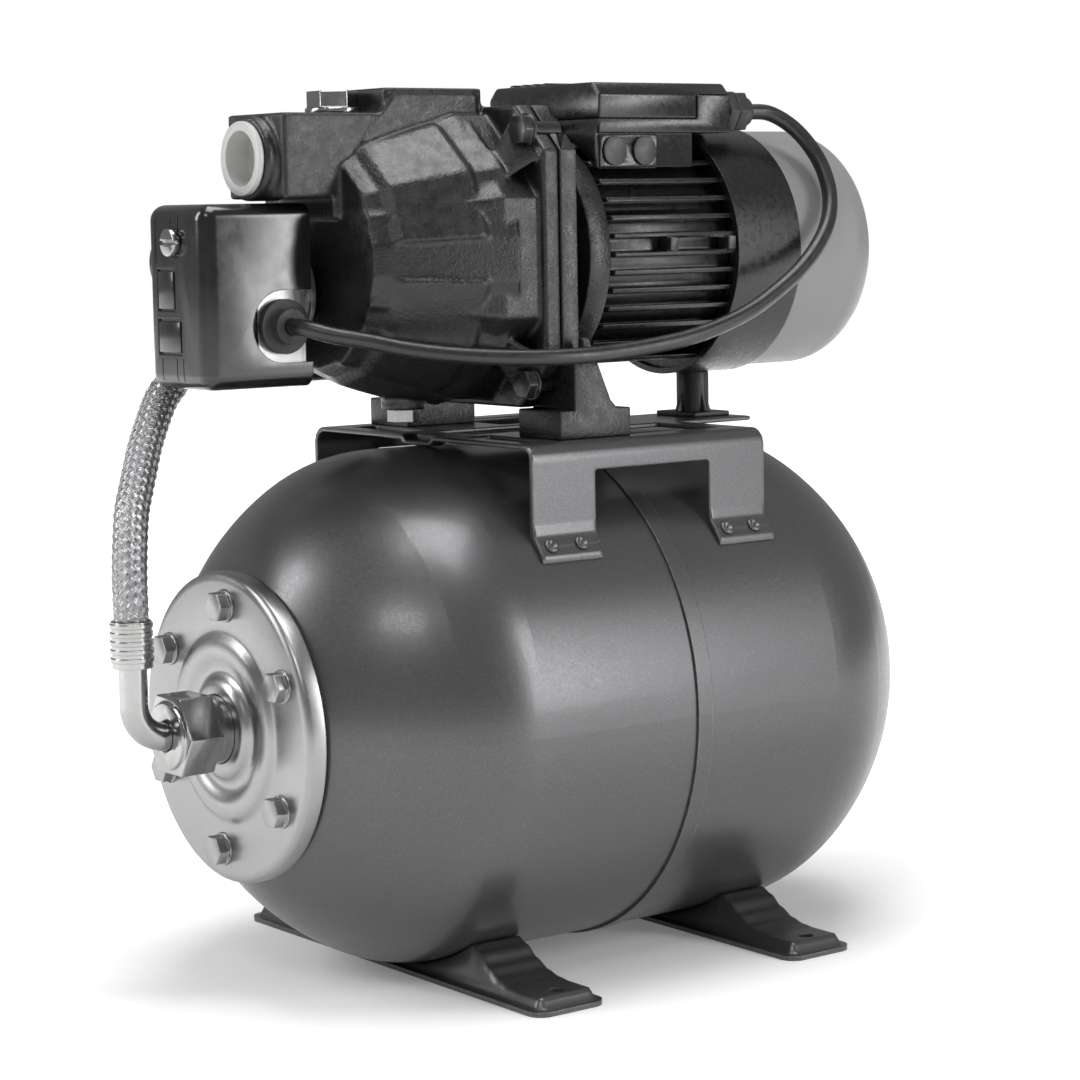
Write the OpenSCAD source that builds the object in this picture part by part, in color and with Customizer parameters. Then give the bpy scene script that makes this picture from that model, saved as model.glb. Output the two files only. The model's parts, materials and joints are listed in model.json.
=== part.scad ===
// Jet pump booster set: a shallow well jet pump and its motor on a horizontal
// pressure tank, with a pressure switch, a gauge and a braided connecting hose.
// Millimetres, +Z up, origin on the floor under the middle of the tank.
// The pump and tank axes run along Y: suction end at -Y, fan cover at +Y.

/* [Tank] */
// Outside radius of the tank shell
tank_r = 127.5; // [126:0.5:128]
// Height of the tank axis above the floor
tank_z = 131.5; // [131:0.5:133]
// Half length of the straight part of the shell
tank_straight = 92; // [90:1:94]
// Wall thickness of the steel shell
shell_t = 1.5; // [1.2:0.1:2]
// Outside radius of the service flange
flange_r = 75; // [74:0.5:76]

/* [Feet and bracket] */
// Distance from the middle of the set to each foot
foot_y = 79; // [76:1:82]
// Half length of a foot across the tank
foot_x = 129; // [127:1:131]
// Half width of a foot along the tank
foot_w = 21; // [20:0.5:22]
// Distance from the middle of the set to the holes in the feet
foot_hole_x = 116; // [115:0.5:117]
// Half width of the bracket that carries the pump
bracket_x = 94.5; // [93:0.5:96]
// Height of the bracket's top face above the floor
bracket_top = 264.5; // [264:0.5:266]
// Thickness of the bracket's sheet
bracket_t = 2.5; // [2:0.1:3]

/* [Pump] */
// Height of the shaft above the bracket's top face
shaft_h = 87.5; // [86:0.5:89]
// Half width of the casing's square flange
casing_flange = 73; // [72:0.5:74]
// Height of the suction port's middle above the shaft
suction_up = 49; // [48.5:0.5:50]
// Radius of the delivery port's thread
port_r = 16.6; // [16.2:0.1:16.7]

/* [Motor] */
// Radius over the fins of the motor frame
fin_r = 61; // [60:0.5:62]
// Radius of the fan cover
fan_cover_r = 62; // [61.5:0.5:62.5]
// Length of the fan cover
fan_cover_l = 61; // [59:1:63]

/* [Hidden] */

eps = 0.01;
round_fn = 96;
axis_z = bracket_top + shaft_h;

// Tank heads: a knuckle arc that meets a crown arc
knuckle_r = 75;
crown_r = 135;
head_d = crown_r - sqrt(pow(crown_r - knuckle_r, 2) - pow(tank_r - knuckle_r, 2));
neck_y = -183.5;
lip_y = neck_y - 1.8;
plate_y = lip_y - 2;
flange_bolt_r = 59.4;
flange_bolt_turn = -3.7;

// Pump
casing_front = -130;
flange_y0 = -46;
flange_y1 = -37;
lantern_y = -36;
cover_y = -26;
bolt_at = 61;
suction_z = axis_z + suction_up;
suction_y = -167;
spine_top = axis_z + 82;
outlet_y = -74;
priming_y = -117;
switch_x = -12;
switch_z = axis_z - 15.5;
gauge_x = -52;
gauge_z = axis_z;
hose_port_x = -52;
hose_port_z = axis_z - 47;
port_face = -132;

// Motor
shaft_r = 7.5;
frame_y0 = 4;
frame_y1 = 86;
shield_y1 = 126;
shield_r = 64.4;
stator_y0 = 18;
stator_y1 = 70;
bearing_r = 17.5;
support_y = 106;

// Terminal box
box_x = 46;
box_y0 = 9.5;
box_y1 = 95;
tray_z = axis_z + 60;
neck_x = 44;
knockout_z = axis_z + 51;
lid_z = axis_z + 67;
box_z1 = axis_z + 85;
gland_x = 36;
gland_z = lid_z + 4;

// Pressure switch
switch_front = -200;
switch_x0 = -39;
switch_x1 = 15;
switch_z0 = switch_z - 43.5;
switch_z1 = switch_z + 43.5;
plate_front = -146.5;
cover_back = plate_front + 5;
tab_x = 22.4;
grommet_y = -157;
grommet_z = axis_z - 30;

// Hose: the points that its middle line passes through, from ferrule to ferrule
hose_r = 8.5;
hose_points = [
    [0, -236, 188], [0, -236, 196], [-2, -235, 205], [-5, -233, 215], [-9, -230, 226],
    [-14, -226, 237], [-20, -220, 247], [-26, -214, 256], [-32, -208, 265], [-37, -202, 273],
    [-42, -196, 280], [-46, -190, 287], [-49, -183, 293], [-51, -176, 299], [-52, -168, 303],
    [-52, -160, 305]
];
// Cable: from the gland on the terminal box, down beside the motor to the switch
cable_r = 4;
cable_points = [
    [36, 113, 423], [39, 128, 422], [46, 140, 413], [55, 147, 398], [63, 147, 382],
    [70, 140, 367], [75, 128, 354], [79, 112, 342], [82, 94, 332], [85, 74, 323],
    [87, 52, 316], [88, 30, 311], [88, 8, 308], [88, -14, 306], [88, -36, 305], [85, -58, 305],
    [79, -80, 306], [71, -101, 308], [62, -119, 311], [52, -134, 315], [42, -147, 318],
    [34, -155, 321], [27, -157, 322], [22, -157, 322]
];

// ---- shared shapes ----

// Cylinder along Y from y0 to y1
module ycyl(r, y0, y1, x = 0, z = 0, n = round_fn) {
    translate([x, y0, z]) rotate([-90, 0, 0]) cylinder(h = y1 - y0, r = r, $fn = n);
}

// Cylinder along X from x0 to x1
module xcyl(r, x0, x1, y = 0, z = 0, n = round_fn) {
    translate([x0, y, z]) rotate([0, 90, 0]) cylinder(h = x1 - x0, r = r, $fn = n);
}

// Cylinder along Z from z0 to z1
module zcyl(r, z0, z1, x = 0, y = 0, n = round_fn) {
    translate([x, y, z0]) cylinder(h = z1 - z0, r = r, $fn = n);
}

// Tube along Y
module ytube(r_out, r_in, y0, y1, x = 0, z = 0) {
    difference() {
        ycyl(r_out, y0, y1, x, z);
        ycyl(r_in, y0 - 1, y1 + 1, x, z);
    }
}

// Box given by its two corners
module block(a, b) {
    translate(a) cube(b - a);
}

// Hexagon bar along Y, given by its width across flats
module yhex(flats, y0, y1, x = 0, z = 0) {
    ycyl(flats / sqrt(3), y0, y1, x, z, 6);
}

// Solid turned about a line along Y through (x, z): the outline is drawn as [radius, y]
module yturn(x = 0, z = 0) {
    translate([x, 0, z]) rotate([-90, 0, 0]) rotate_extrude($fn = round_fn) children();
}

// Square with cut corners, along Y
module cut_square(half, cut, y0, y1, z) {
    translate([0, y1, z]) rotate([90, 0, 0]) linear_extrude(y1 - y0)
        polygon([
            [-half, -half + cut], [-half + cut, -half], [half - cut, -half],
            [half, -half + cut], [half, half - cut], [half - cut, half],
            [-half + cut, half], [-half, half - cut]
        ]);
}

// Octagon bar along Y, given by half its width across flats
module yoct(half, y0, y1, z) {
    cut_square(half, half * (2 - sqrt(2)), y0, y1, z);
}

// Tube swept along points: one ring per point, square to the line through its neighbours
function unit(v) = v / norm(v);
function heading(p, i) = unit(p[min(i + 1, len(p) - 1)] - p[max(i - 1, 0)]);
// The rings take their first corner from this direction, which no cord runs along
ring_guide = [1, 0, 1];
function side(t) = unit(cross(t, ring_guide));
function ring(c, t, r, n) = [
    for (k = [0 : n - 1])
        c + r * (cos(360 * k / n) * side(t) + sin(360 * k / n) * cross(side(t), t))
];
module swept_tube(points, r, n) {
    count = len(points);
    rings = [for (i = [0 : count - 1]) each ring(points[i], heading(points, i), r, n)];
    walls = [
        for (i = [0 : count - 2], k = [0 : n - 1])
            [i * n + k, i * n + (k + 1) % n, (i + 1) * n + (k + 1) % n, (i + 1) * n + k]
    ];
    first_cap = [[for (k = [n - 1 : -1 : 0]) k]];
    last_cap = [[for (k = [0 : n - 1]) (count - 1) * n + k]];
    polyhedron(points = rings, faces = concat(walls, first_cap, last_cap), convexity = 8);
}

// Hex bolt along Y: head towards -Y, washer under the head, shank towards +Y
module hex_bolt(flats, head, shank_r, shank_l, washer_r, x, y, z) {
    yhex(flats, y - head, y, x, z);
    ycyl(washer_r, y, y + 1.5, x, z);
    ycyl(shank_r, y + 1.5 - eps, y + shank_l, x, z);
}

// ---- pressure tank ----

// Half outline of a tank head and its straight part, as [radius, y]
module head_outline(inset) {
    rk = knuckle_r - inset;
    rc = crown_r - inset;
    kx = tank_r - knuckle_r;
    cy = tank_straight + head_d - crown_r;
    aim = unit([kx, tank_straight - cy]);
    far = 2 * crown_r;
    square([tank_r - inset, tank_straight]);
    intersection() {
        translate([kx, tank_straight]) circle(r = rk, $fn = round_fn);
        translate([0, tank_straight - 1]) square([tank_r, head_d]);
    }
    intersection() {
        translate([0, cy]) circle(r = rc, $fn = round_fn);
        polygon([[0, cy], [far * aim[0], cy + far * aim[1]], [0, cy + far * 2]]);
    }
}

module head_shell() {
    difference() {
        yturn(0, tank_z) head_outline(0);
        yturn(0, tank_z) difference() {
            head_outline(shell_t);
            square([tank_r, eps]);
        }
        ycyl(tank_r - shell_t, -1, 1, 0, tank_z);
    }
}

module tank_front() {
    color("dimgray") difference() {
        union() {
            mirror([0, 1, 0]) head_shell();
            ycyl(70, neck_y, neck_y + 11.5, 0, tank_z);
        }
        ycyl(61, -220, neck_y, 0, tank_z);
        ycyl(50, -220, -150, 0, tank_z);
        for (a = [0 : 60 : 300]) {
            turn = a + 90 + flange_bolt_turn;
            ycyl(4, -200, neck_y + 9, flange_bolt_r * cos(turn), tank_z + flange_bolt_r * sin(turn));
        }
    }
}

module tank_rear() {
    valve_y = tank_straight + head_d;
    color("dimgray") difference() {
        union() {
            head_shell();
            ytube(tank_r + 1.3, tank_r - eps, eps, 9, 0, tank_z);
            ycyl(12, valve_y - 4, valve_y + 3, 0, tank_z);
        }
        ycyl(6, valve_y - 10, valve_y + 10, 0, tank_z);
    }
}

module membrane() {
    wall = 2;
    gap = 9;
    color("black") difference() {
        union() {
            intersection() {
                yturn(0, tank_z) head_outline(gap);
                ycyl(tank_r, 0, 170, 0, tank_z);
            }
            intersection() {
                mirror([0, 1, 0]) yturn(0, tank_z) head_outline(gap);
                ycyl(tank_r, -170, eps, 0, tank_z);
            }
            ycyl(49.8, lip_y, -160, 0, tank_z);
            ycyl(54, lip_y, neck_y, 0, tank_z);
        }
        yturn(0, tank_z) difference() {
            head_outline(gap + wall);
            translate([0, 168]) square([tank_r, 60]);
        }
        mirror([0, 1, 0]) yturn(0, tank_z) difference() {
            head_outline(gap + wall);
            translate([0, 168]) square([tank_r, 60]);
        }
        ycyl(47.5, -200, -160, 0, tank_z);
    }
}

module tank_flange() {
    color("silver") difference() {
        yturn(0, tank_z) union() {
            translate([0, plate_y]) square([flange_r - 1, 2]);
            translate([flange_r - 1.8, plate_y]) square([1.8, 9.5]);
            translate([26, plate_y - 2.5]) square([17, 3]);
            translate([0, plate_y - 4.5]) square([24, 5]);
        }
        ycyl(16.6, -210, -170, 0, tank_z);
        ycyl(22, plate_y - 2, plate_y + 5, 0, tank_z);
        for (a = [0 : 60 : 300]) {
            turn = a + 90 + flange_bolt_turn;
            ycyl(4.5, -200, -170, flange_bolt_r * cos(turn), tank_z + flange_bolt_r * sin(turn));
        }
    }
}

module flange_bolts() {
    color("silver") for (a = [0 : 60 : 300]) {
        turn = a + 90 + flange_bolt_turn;
        hex_bolt(
            13, 5.5, 3.95, 11.8, 8, flange_bolt_r * cos(turn), plate_y - 1.5,
            tank_z + flange_bolt_r * sin(turn)
        );
    }
}

module inlet_nipple() {
    color("silver") difference() {
        union() {
            ycyl(16.5, -211, -176, 0, tank_z);
            ycyl(21, plate_y - 2, plate_y - 2 + 6, 0, tank_z);
        }
        ycyl(12, -215, -170, 0, tank_z);
    }
}

module union_nut() {
    color("silver") difference() {
        union() {
            yhex(37, -218, -200, 0, tank_z);
            ycyl(16, -220, -217, 0, tank_z);
        }
        ycyl(16.6, -211.5, -190, 0, tank_z);
        ycyl(7, -230, -200, 0, tank_z);
    }
}

module elbow_tube() {
    tube_r = 6.8;
    bend = 16;
    bend_y = -220;
    top_z = 178;
    color("silver") {
        ytube(tube_r, 5, bend_y, -206, 0, tank_z);
        ycyl(11, -211.4, -208, 0, tank_z);
        translate([0, bend_y, tank_z + bend]) rotate([90, 0, -90]) rotate([0, 0, 270])
            rotate_extrude(angle = 90, $fn = round_fn) translate([bend, 0]) difference() {
                circle(r = tube_r, $fn = 48);
                circle(r = 5, $fn = 48);
            }
        difference() {
            zcyl(tube_r, tank_z + bend, top_z, 0, bend_y - bend);
            zcyl(5, tank_z + bend - 1, top_z + 1, 0, bend_y - bend);
        }
    }
}

// Crimped ferrule standing on its own axis, from the fitting end up
module ferrule(length) {
    difference() {
        union() {
            cylinder(h = length, r = 9.6, $fn = round_fn);
            for (h = [3 : 4 : length - 3]) translate([0, 0, h]) cylinder(h = 2, r = 10.2, $fn = round_fn);
        }
        translate([0, 0, 6]) cylinder(h = length, r = 8.6, $fn = round_fn);
        translate([0, 0, -1]) cylinder(h = length, r = 6.85, $fn = round_fn);
    }
}

module hose_ferrules() {
    color("silver") {
        translate([0, -236, 166]) ferrule(22);
        translate([hose_port_x, -138, hose_port_z]) rotate([90, 0, 0]) ferrule(22);
    }
}

module hose() {
    color("gray") swept_tube(hose_points, hose_r, 12);
}

module hose_nut() {
    color("silver") difference() {
        union() {
            yhex(22, -144.5, -134, hose_port_x, hose_port_z);
            ycyl(9.9, -134.1, -120, hose_port_x, hose_port_z);
        }
        ycyl(6, -160, -100, hose_port_x, hose_port_z);
        ycyl(10.4, -160, -137.5, hose_port_x, hose_port_z);
    }
}

module air_valve() {
    valve_y = tank_straight + head_d;
    color("goldenrod") difference() {
        union() {
            ycyl(5.9, valve_y - 6, valve_y + 3, 0, tank_z);
            yhex(11, valve_y + 3, valve_y + 6, 0, tank_z);
            ycyl(3.9, valve_y + 6 - eps, valve_y + 20, 0, tank_z);
        }
        ycyl(1.2, valve_y - 10, valve_y + 30, 0, tank_z);
    }
}

module valve_cap() {
    valve_y = tank_straight + head_d;
    color("black") difference() {
        ycyl(9, valve_y + 6.5, valve_y + 24, 0, tank_z);
        ycyl(4, valve_y, valve_y + 21, 0, tank_z);
    }
}

// ---- feet and bracket ----

// Pressed foot: two low pads with a lip, a hollow hump up to the tank, a strap between
module tank_foot(y) {
    pad_in = 99;
    hump_w = foot_w - 4;
    sheet = 2.5;
    hump_in = 36;
    color("dimgray") translate([0, y, 0]) {
        for (s = [0, 1]) mirror([s, 0, 0]) {
            difference() {
                union() {
                    block([pad_in - 6, -foot_w, 0], [foot_x - 8, foot_w, sheet]);
                    block([foot_x - 9, -foot_w + 8, 0], [foot_x, foot_w - 8, sheet]);
                    zcyl(8, 0, sheet, foot_x - 8, foot_w - 8);
                    zcyl(8, 0, sheet, foot_x - 8, 8 - foot_w);
                    block([pad_in - 2, -hump_w, 0], [foot_x - 5, hump_w, 8]);
                    block([hump_in, -foot_w, 0], [pad_in - 5, foot_w, sheet]);
                    rotate([90, 0, 0]) translate([0, 0, -hump_w]) linear_extrude(2 * hump_w)
                        polygon([
                            [hump_in, 0], [pad_in, 0], [pad_in, 8], [91, 10], [82, 14.5],
                            [74, 20], [68, 26], [hump_in, 26]
                        ]);
                }
                difference() {
                    block(
                        [pad_in - 3, sheet - hump_w, -1],
                        [foot_x - 5 - sheet, hump_w - sheet, 8 - sheet]
                    );
                    zcyl(7, -2, 9, foot_hole_x, 0);
                }
                rotate([90, 0, 0]) translate([0, 0, sheet - hump_w]) difference() {
                    linear_extrude(2 * (hump_w - sheet)) polygon([
                        [hump_in + sheet, -1], [pad_in - 2, -1], [pad_in - 2, 5.5], [89, 7.8],
                        [80, 12.5], [71, 18.5], [64, 26], [hump_in + sheet, 26]
                    ]);
                    translate([0, tank_z, -1]) cylinder(h = 99, r = tank_r + sheet, $fn = round_fn);
                }
                ycyl(tank_r + 0.02, -99, 99, 0, tank_z);
                zcyl(4, -1, 20, foot_hole_x, 0);
            }
        }
        block([-hump_in - eps, -12, 0], [hump_in + eps, 12, sheet]);
    }
}

module foot_front() {
    tank_foot(-foot_y);
}

module foot_rear() {
    tank_foot(foot_y);
}

bracket_y0 = -72;
bracket_y1 = 73;
leg_y0 = -34;
leg_y1 = 37;
bend_r = 8;
tongue_x = 26;
tongue_y1 = 124;
pump_foot_x = 65;
pump_foot_h = 14;
foot_bolt_x = 64;
foot_bolt_y = -14;

// Arch with two rounded upper corners, drawn from its foot up
module arch_outline(half, top, bend, bottom) {
    translate([-half, bottom]) square([2 * half, top - bend - bottom]);
    translate([bend - half, top - bend - 1]) square([2 * (half - bend), bend + 1]);
    intersection() {
        for (s = [-1, 1]) translate([s * (half - bend), top - bend]) circle(r = bend, $fn = 64);
        translate([-half, top - bend - eps]) square([2 * half, bend + 1]);
    }
}

// Section across the bracket: plate, rounded bends and side walls
module bracket_section(bottom) {
    difference() {
        arch_outline(bracket_x, bracket_top, bend_r, bottom);
        arch_outline(bracket_x - bracket_t, bracket_top - bracket_t, bend_r - bracket_t, bottom - 1);
    }
}

module bracket_run(bottom, y0, y1) {
    translate([0, y1, 0]) rotate([90, 0, 0]) linear_extrude(y1 - y0) bracket_section(bottom);
}

module pump_bracket() {
    leg_bottom = tank_z + sqrt(pow(tank_r, 2) - pow(bracket_x, 2)) - 1;
    skirt = bracket_top - 14;
    color("gray") {
        difference() {
            union() {
                bracket_run(leg_bottom, bracket_y0, leg_y0);
                bracket_run(skirt, leg_y0 - eps, leg_y1 + eps);
                bracket_run(leg_bottom, leg_y1, bracket_y1);
                block(
                    [-tongue_x, bracket_y1 - 1, bracket_top - bracket_t],
                    [tongue_x, tongue_y1, bracket_top]
                );
                // weld flanges that lie along the tank
                intersection() {
                    ytube(tank_r + 2.6, tank_r + 0.1, bracket_y0, bracket_y1, 0, tank_z);
                    for (s = [-1, 1], y = [bracket_y0, leg_y1])
                        translate([s * (bracket_x + 2.6) - 5, y, leg_bottom - 9])
                            cube([10, leg_y0 - bracket_y0 - 2, 14]);
                }
            }
            ycyl(tank_r + 0.1, -99, 130, 0, tank_z);
            // trough in the front edge, plate windows and bolt holes
            translate([0, bracket_y0 + 8, 0]) rotate([90, 0, 0]) linear_extrude(9) polygon([
                [-15, bracket_top + 1], [-10.5, bracket_top - 3], [8.5, bracket_top - 3],
                [14, bracket_top + 1]
            ]);
            for (s = [-1, 1]) {
                block([s * 50 - 24, 0, 200], [s * 50 + 24, 60, 300]);
                block([s * 50 - 24, -62, 200], [s * 50 + 24, -47, 300]);
                zcyl(4.5, 200, 300, s * foot_bolt_x, foot_bolt_y);
            }
            block([-18, -50, 200], [18, 50, 300]);
            zcyl(3.2, 200, 300, 0, support_y);
        }
        translate([0, bracket_y0 + 8, 0]) rotate([90, 0, 0]) linear_extrude(8) difference() {
            polygon([
                [-18.5, bracket_top], [-12, bracket_top - 5.2], [10, bracket_top - 5.2],
                [17.5, bracket_top]
            ]);
            polygon([
                [-15, bracket_top + 1], [-10.5, bracket_top - 3], [8.5, bracket_top - 3],
                [14, bracket_top + 1]
            ]);
        }
    }
}

// ---- pump ----

module pump_casing() {
    drop_y = -112;
    color([0.12, 0.12, 0.13]) difference() {
        union() {
            hull() {
                yoct(49, casing_front, casing_front + 4, axis_z);
                yoct(69, -66, -60, axis_z);
            }
            yoct(69, -61, flange_y0 + 1, axis_z);
            cut_square(casing_flange, 22, flange_y0, flange_y1, axis_z);
            // suction boss and delivery boss
            block([-25, -161, axis_z + 30], [25, -100, axis_z + 70]);
            block([-25, -134, axis_z + 20], [25, -100, axis_z + 31]);
            ycyl(20, suction_y, -150, 0, suction_z);
            block([-24, -103, axis_z + 30], [24, -46, spine_top]);
            // bosses for the switch, the gauge and the hose
            ycyl(12, port_face - 1, -120, switch_x, switch_z);
            ycyl(11, port_face, -75, gauge_x, gauge_z);
            ycyl(14, port_face, -75, hose_port_x, hose_port_z);
            zcyl(11, axis_z - 74, axis_z - 50, 0, -80);
        }
        // chamber for the impeller and diffuser, and the pressure chamber before it
        ycyl(60, -62, -30, 0, axis_z);
        difference() {
            ycyl(44, -120, -61, 0, axis_z);
            ycyl(24, -130, -50, 0, axis_z);
            zcyl(17, axis_z, axis_z + 60, 0, drop_y + 2);
        }
        ycyl(18, -121, -61, 0, axis_z);
        // suction passage
        ycyl(15.2, -180, -104, 0, suction_z);
        zcyl(12, axis_z, suction_z, 0, drop_y + 2);
        // delivery port
        zcyl(port_r, spine_top - 20, spine_top + 1, 0, outlet_y);
        zcyl(12, axis_z + 30, spine_top, 0, outlet_y);
        // priming, drain, switch, gauge and hose ports
        zcyl(9.9, axis_z + 58, axis_z + 99, 0, priming_y);
        zcyl(6.6, axis_z - 80, axis_z - 40, 0, -80);
        zcyl(4, axis_z - 40, axis_z, 0, -119);
        ycyl(6.6, -150, -122.5, switch_x, switch_z);
        ycyl(2, -130, -110, switch_x - 4.5, switch_z - 4.5);
        ycyl(6.6, -150, -112, gauge_x, gauge_z);
        ycyl(10, -150, -112, hose_port_x, hose_port_z);
        xcyl(4, gauge_x, -30, -113, gauge_z);
        xcyl(6, hose_port_x, -20, -110, hose_port_z + 3);
        for (sx = [-1, 1], sz = [-1, 1])
            ycyl(4.3, -50, -30, sx * bolt_at, axis_z + sz * bolt_at);
    }
}

module suction_cap() {
    color("lightgray") difference() {
        union() {
            ycyl(17.6, suction_y - 3, suction_y - 0.02, 0, suction_z);
            ycyl(15.1, suction_y - 1, suction_y + 12, 0, suction_z);
        }
        ycyl(13, suction_y - 10, suction_y + 10, 0, suction_z);
    }
}

module priming_plug() {
    boss_top = axis_z + 70;
    color("silver") {
        zcyl(9.8, boss_top - 12, boss_top + 0.02, 0, priming_y);
        zcyl(13.5, boss_top + 0.02, boss_top + 3, 0, priming_y);
        zcyl(22 / sqrt(3), boss_top + 3 - eps, boss_top + 11, 0, priming_y, 6);
    }
}

module drain_plug() {
    boss = axis_z - 74;
    color("silver") {
        zcyl(6.5, boss, boss + 12, 0, -80);
        zcyl(14 / sqrt(3), boss - 6, boss, 0, -80, 6);
    }
}

module nozzle() {
    color("goldenrod") yturn(0, axis_z) difference() {
        polygon([[0, -120.9], [17.9, -120.9], [17.9, -117], [9, -117], [5, -101], [0, -101]]);
        polygon([[0, -125], [10, -125], [6, -117], [2.8, -100], [0, -100]]);
    }
}

module venturi() {
    color("black") yturn(0, axis_z) difference() {
        union() {
            translate([0, -98]) square([12, 36]);
            translate([0, -74]) square([17.9, 11.5]);
        }
        polygon([
            [0, -99], [9.5, -99], [5, -92], [4.6, -84], [9.8, -61], [0, -61]
        ]);
    }
}

module diffuser() {
    color("dimgray") difference() {
        union() {
            ytube(59.7, 52, -61.8, -44, 0, axis_z);
            ytube(59.7, 17.5, -61.9, -58.9, 0, axis_z);
            for (a = [0 : 45 : 315]) translate([0, 0, axis_z]) rotate([0, a, 0])
                block([49, -59, -1.25], [54, -45, 1.25]);
        }
        for (a = [22.5 : 45 : 340]) translate([0, 0, axis_z]) rotate([0, a, 0])
            xcyl(4, 40, 49.5, -60.5, 0, 4);
    }
}

module impeller() {
    color("goldenrod") {
        ytube(46, 12.5, -57.6, -55.6, 0, axis_z);
        ytube(14.5, 12.5, -58.6, -57.5, 0, axis_z);
        difference() {
            union() {
                ycyl(46, -50, -47.6, 0, axis_z);
                ycyl(12, -58, -41, 0, axis_z);
                for (a = [0 : 60 : 300]) translate([0, 0, axis_z]) rotate([0, a, 0])
                    translate([10, 0, 0]) rotate([0, 22, 0]) block([2, -55.8, -1.5], [34, -49.8, 1.5]);
            }
            ycyl(shaft_r + 0.02, -80, -30, 0, axis_z);
        }
    }
}

module seal_rotary() {
    color("black") difference() {
        ycyl(14, -40.9, -33.2, 0, axis_z);
        ycyl(shaft_r + 0.02, -60, -20, 0, axis_z);
    }
}

module seal_seat() {
    color("white") ytube(15.9, 8.2, -33, -27, 0, axis_z);
}

module casing_gasket() {
    color("black") difference() {
        cut_square(casing_flange - 3, 22, flange_y1 + 0.01, lantern_y - 0.01, axis_z);
        ycyl(60.5, -99, 0, 0, axis_z);
        for (sx = [-1, 1], sz = [-1, 1])
            ycyl(4.3, -50, -30, sx * bolt_at, axis_z + sz * bolt_at);
    }
}

// Bracket casting between pump and motor: cover plate, ribs, bearing ring, two feet
module lantern() {
    ring_y = -9;
    color([0.12, 0.12, 0.13]) difference() {
        union() {
            cut_square(casing_flange, 22, lantern_y, cover_y, axis_z);
            ycyl(24, cover_y - 1, -2, 0, axis_z);
            ytube(61, 50, ring_y, frame_y0, 0, axis_z);
            ycyl(55, -3, frame_y0, 0, axis_z);
            for (a = [45 : 90 : 315]) translate([0, 0, axis_z]) rotate([0, a, 0])
                block([50, cover_y - 1, -8], [60, -8, 8]);
            for (s = [-1, 1]) {
                // foot pad with its upright and its gusset
                x = s * pump_foot_x;
                block([x - 17, -45, bracket_top], [x + 17, -2, bracket_top + pump_foot_h]);
                block([x - 17, -45, bracket_top], [x + 17, cover_y, axis_z - 50]);
                translate([x - 2 + s * 15, 0, 0]) rotate([90, 0, 90]) linear_extrude(4) polygon([
                    [cover_y - 5, bracket_top + 5], [-9, bracket_top + 13], [-14, bracket_top + 18],
                    [cover_y - 1, axis_z - 39], [cover_y - 5, axis_z - 39]
                ]);
            }
        }
        // seal bore, shaft hole and bearing seat
        ycyl(17, -99, -33.5, 0, axis_z);
        ycyl(16, -34, -27, 0, axis_z);
        ycyl(9, -99, 40, 0, axis_z);
        ycyl(bearing_r + 0.05, -9, 99, 0, axis_z);
        for (sx = [-1, 1], sz = [-1, 1])
            ycyl(4, -99, -26.5, sx * bolt_at, axis_z + sz * bolt_at);
        for (s = [-1, 1]) {
            zcyl(4.5, 200, 300, s * foot_bolt_x, foot_bolt_y);
            // room for the casing's flange in front of the uprights
            block([s * 62 - 30, -60, bracket_top + pump_foot_h], [s * 62 + 30, lantern_y, axis_z]);
        }
    }
}

module casing_bolts() {
    color("silver") for (sx = [-1, 1], sz = [-1, 1])
        hex_bolt(13, 5.3, 3.95, 19, 8, sx * bolt_at, flange_y0 - 1.5, axis_z + sz * bolt_at);
}

module foot_bolts() {
    top = bracket_top + pump_foot_h;
    under = bracket_top - bracket_t;
    color("silver") for (s = [-1, 1]) translate([s * foot_bolt_x, foot_bolt_y, 0]) {
        zcyl(13 / sqrt(3), top + 1.5, top + 6.8, 0, 0, 6);
        zcyl(8, top, top + 1.5);
        zcyl(3.95, under - 8.5, top + 2);
        zcyl(8, under - 1.5, under);
        zcyl(13 / sqrt(3), under - 7.5, under - 1.5, 0, 0, 6);
    }
}

// ---- motor ----

module shaft() {
    color("silver") {
        ycyl(shaft_r, -58, 118, 0, axis_z);
        ycyl(5, 118 - eps, 150, 0, axis_z);
        ycyl(10, 12, 17.9, 0, axis_z);
    }
}

module rotor_core() {
    color("dimgray") difference() {
        union() {
            ycyl(27.5, stator_y0, stator_y1, 0, axis_z);
            ycyl(24, stator_y0 - 4, stator_y1 + 6, 0, axis_z);
        }
        ycyl(shaft_r + 0.02, 0, 99, 0, axis_z);
        ycyl(10.1, 0, stator_y0, 0, axis_z);
    }
}

module front_bearing() {
    color("silver") ytube(bearing_r, shaft_r + 0.05, -8.9, 2, 0, axis_z);
}

module rear_bearing() {
    color("silver") ytube(bearing_r, shaft_r + 0.05, 96, 107, 0, axis_z);
}

module stator_core() {
    color("gray") ytube(49.9, 28, stator_y0, stator_y1, 0, axis_z);
}

module windings() {
    color("chocolate") {
        ytube(47, 30, 9, stator_y0 - 0.05, 0, axis_z);
        ytube(47, 30, stator_y1 + 0.05, 80, 0, axis_z);
    }
}

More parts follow.
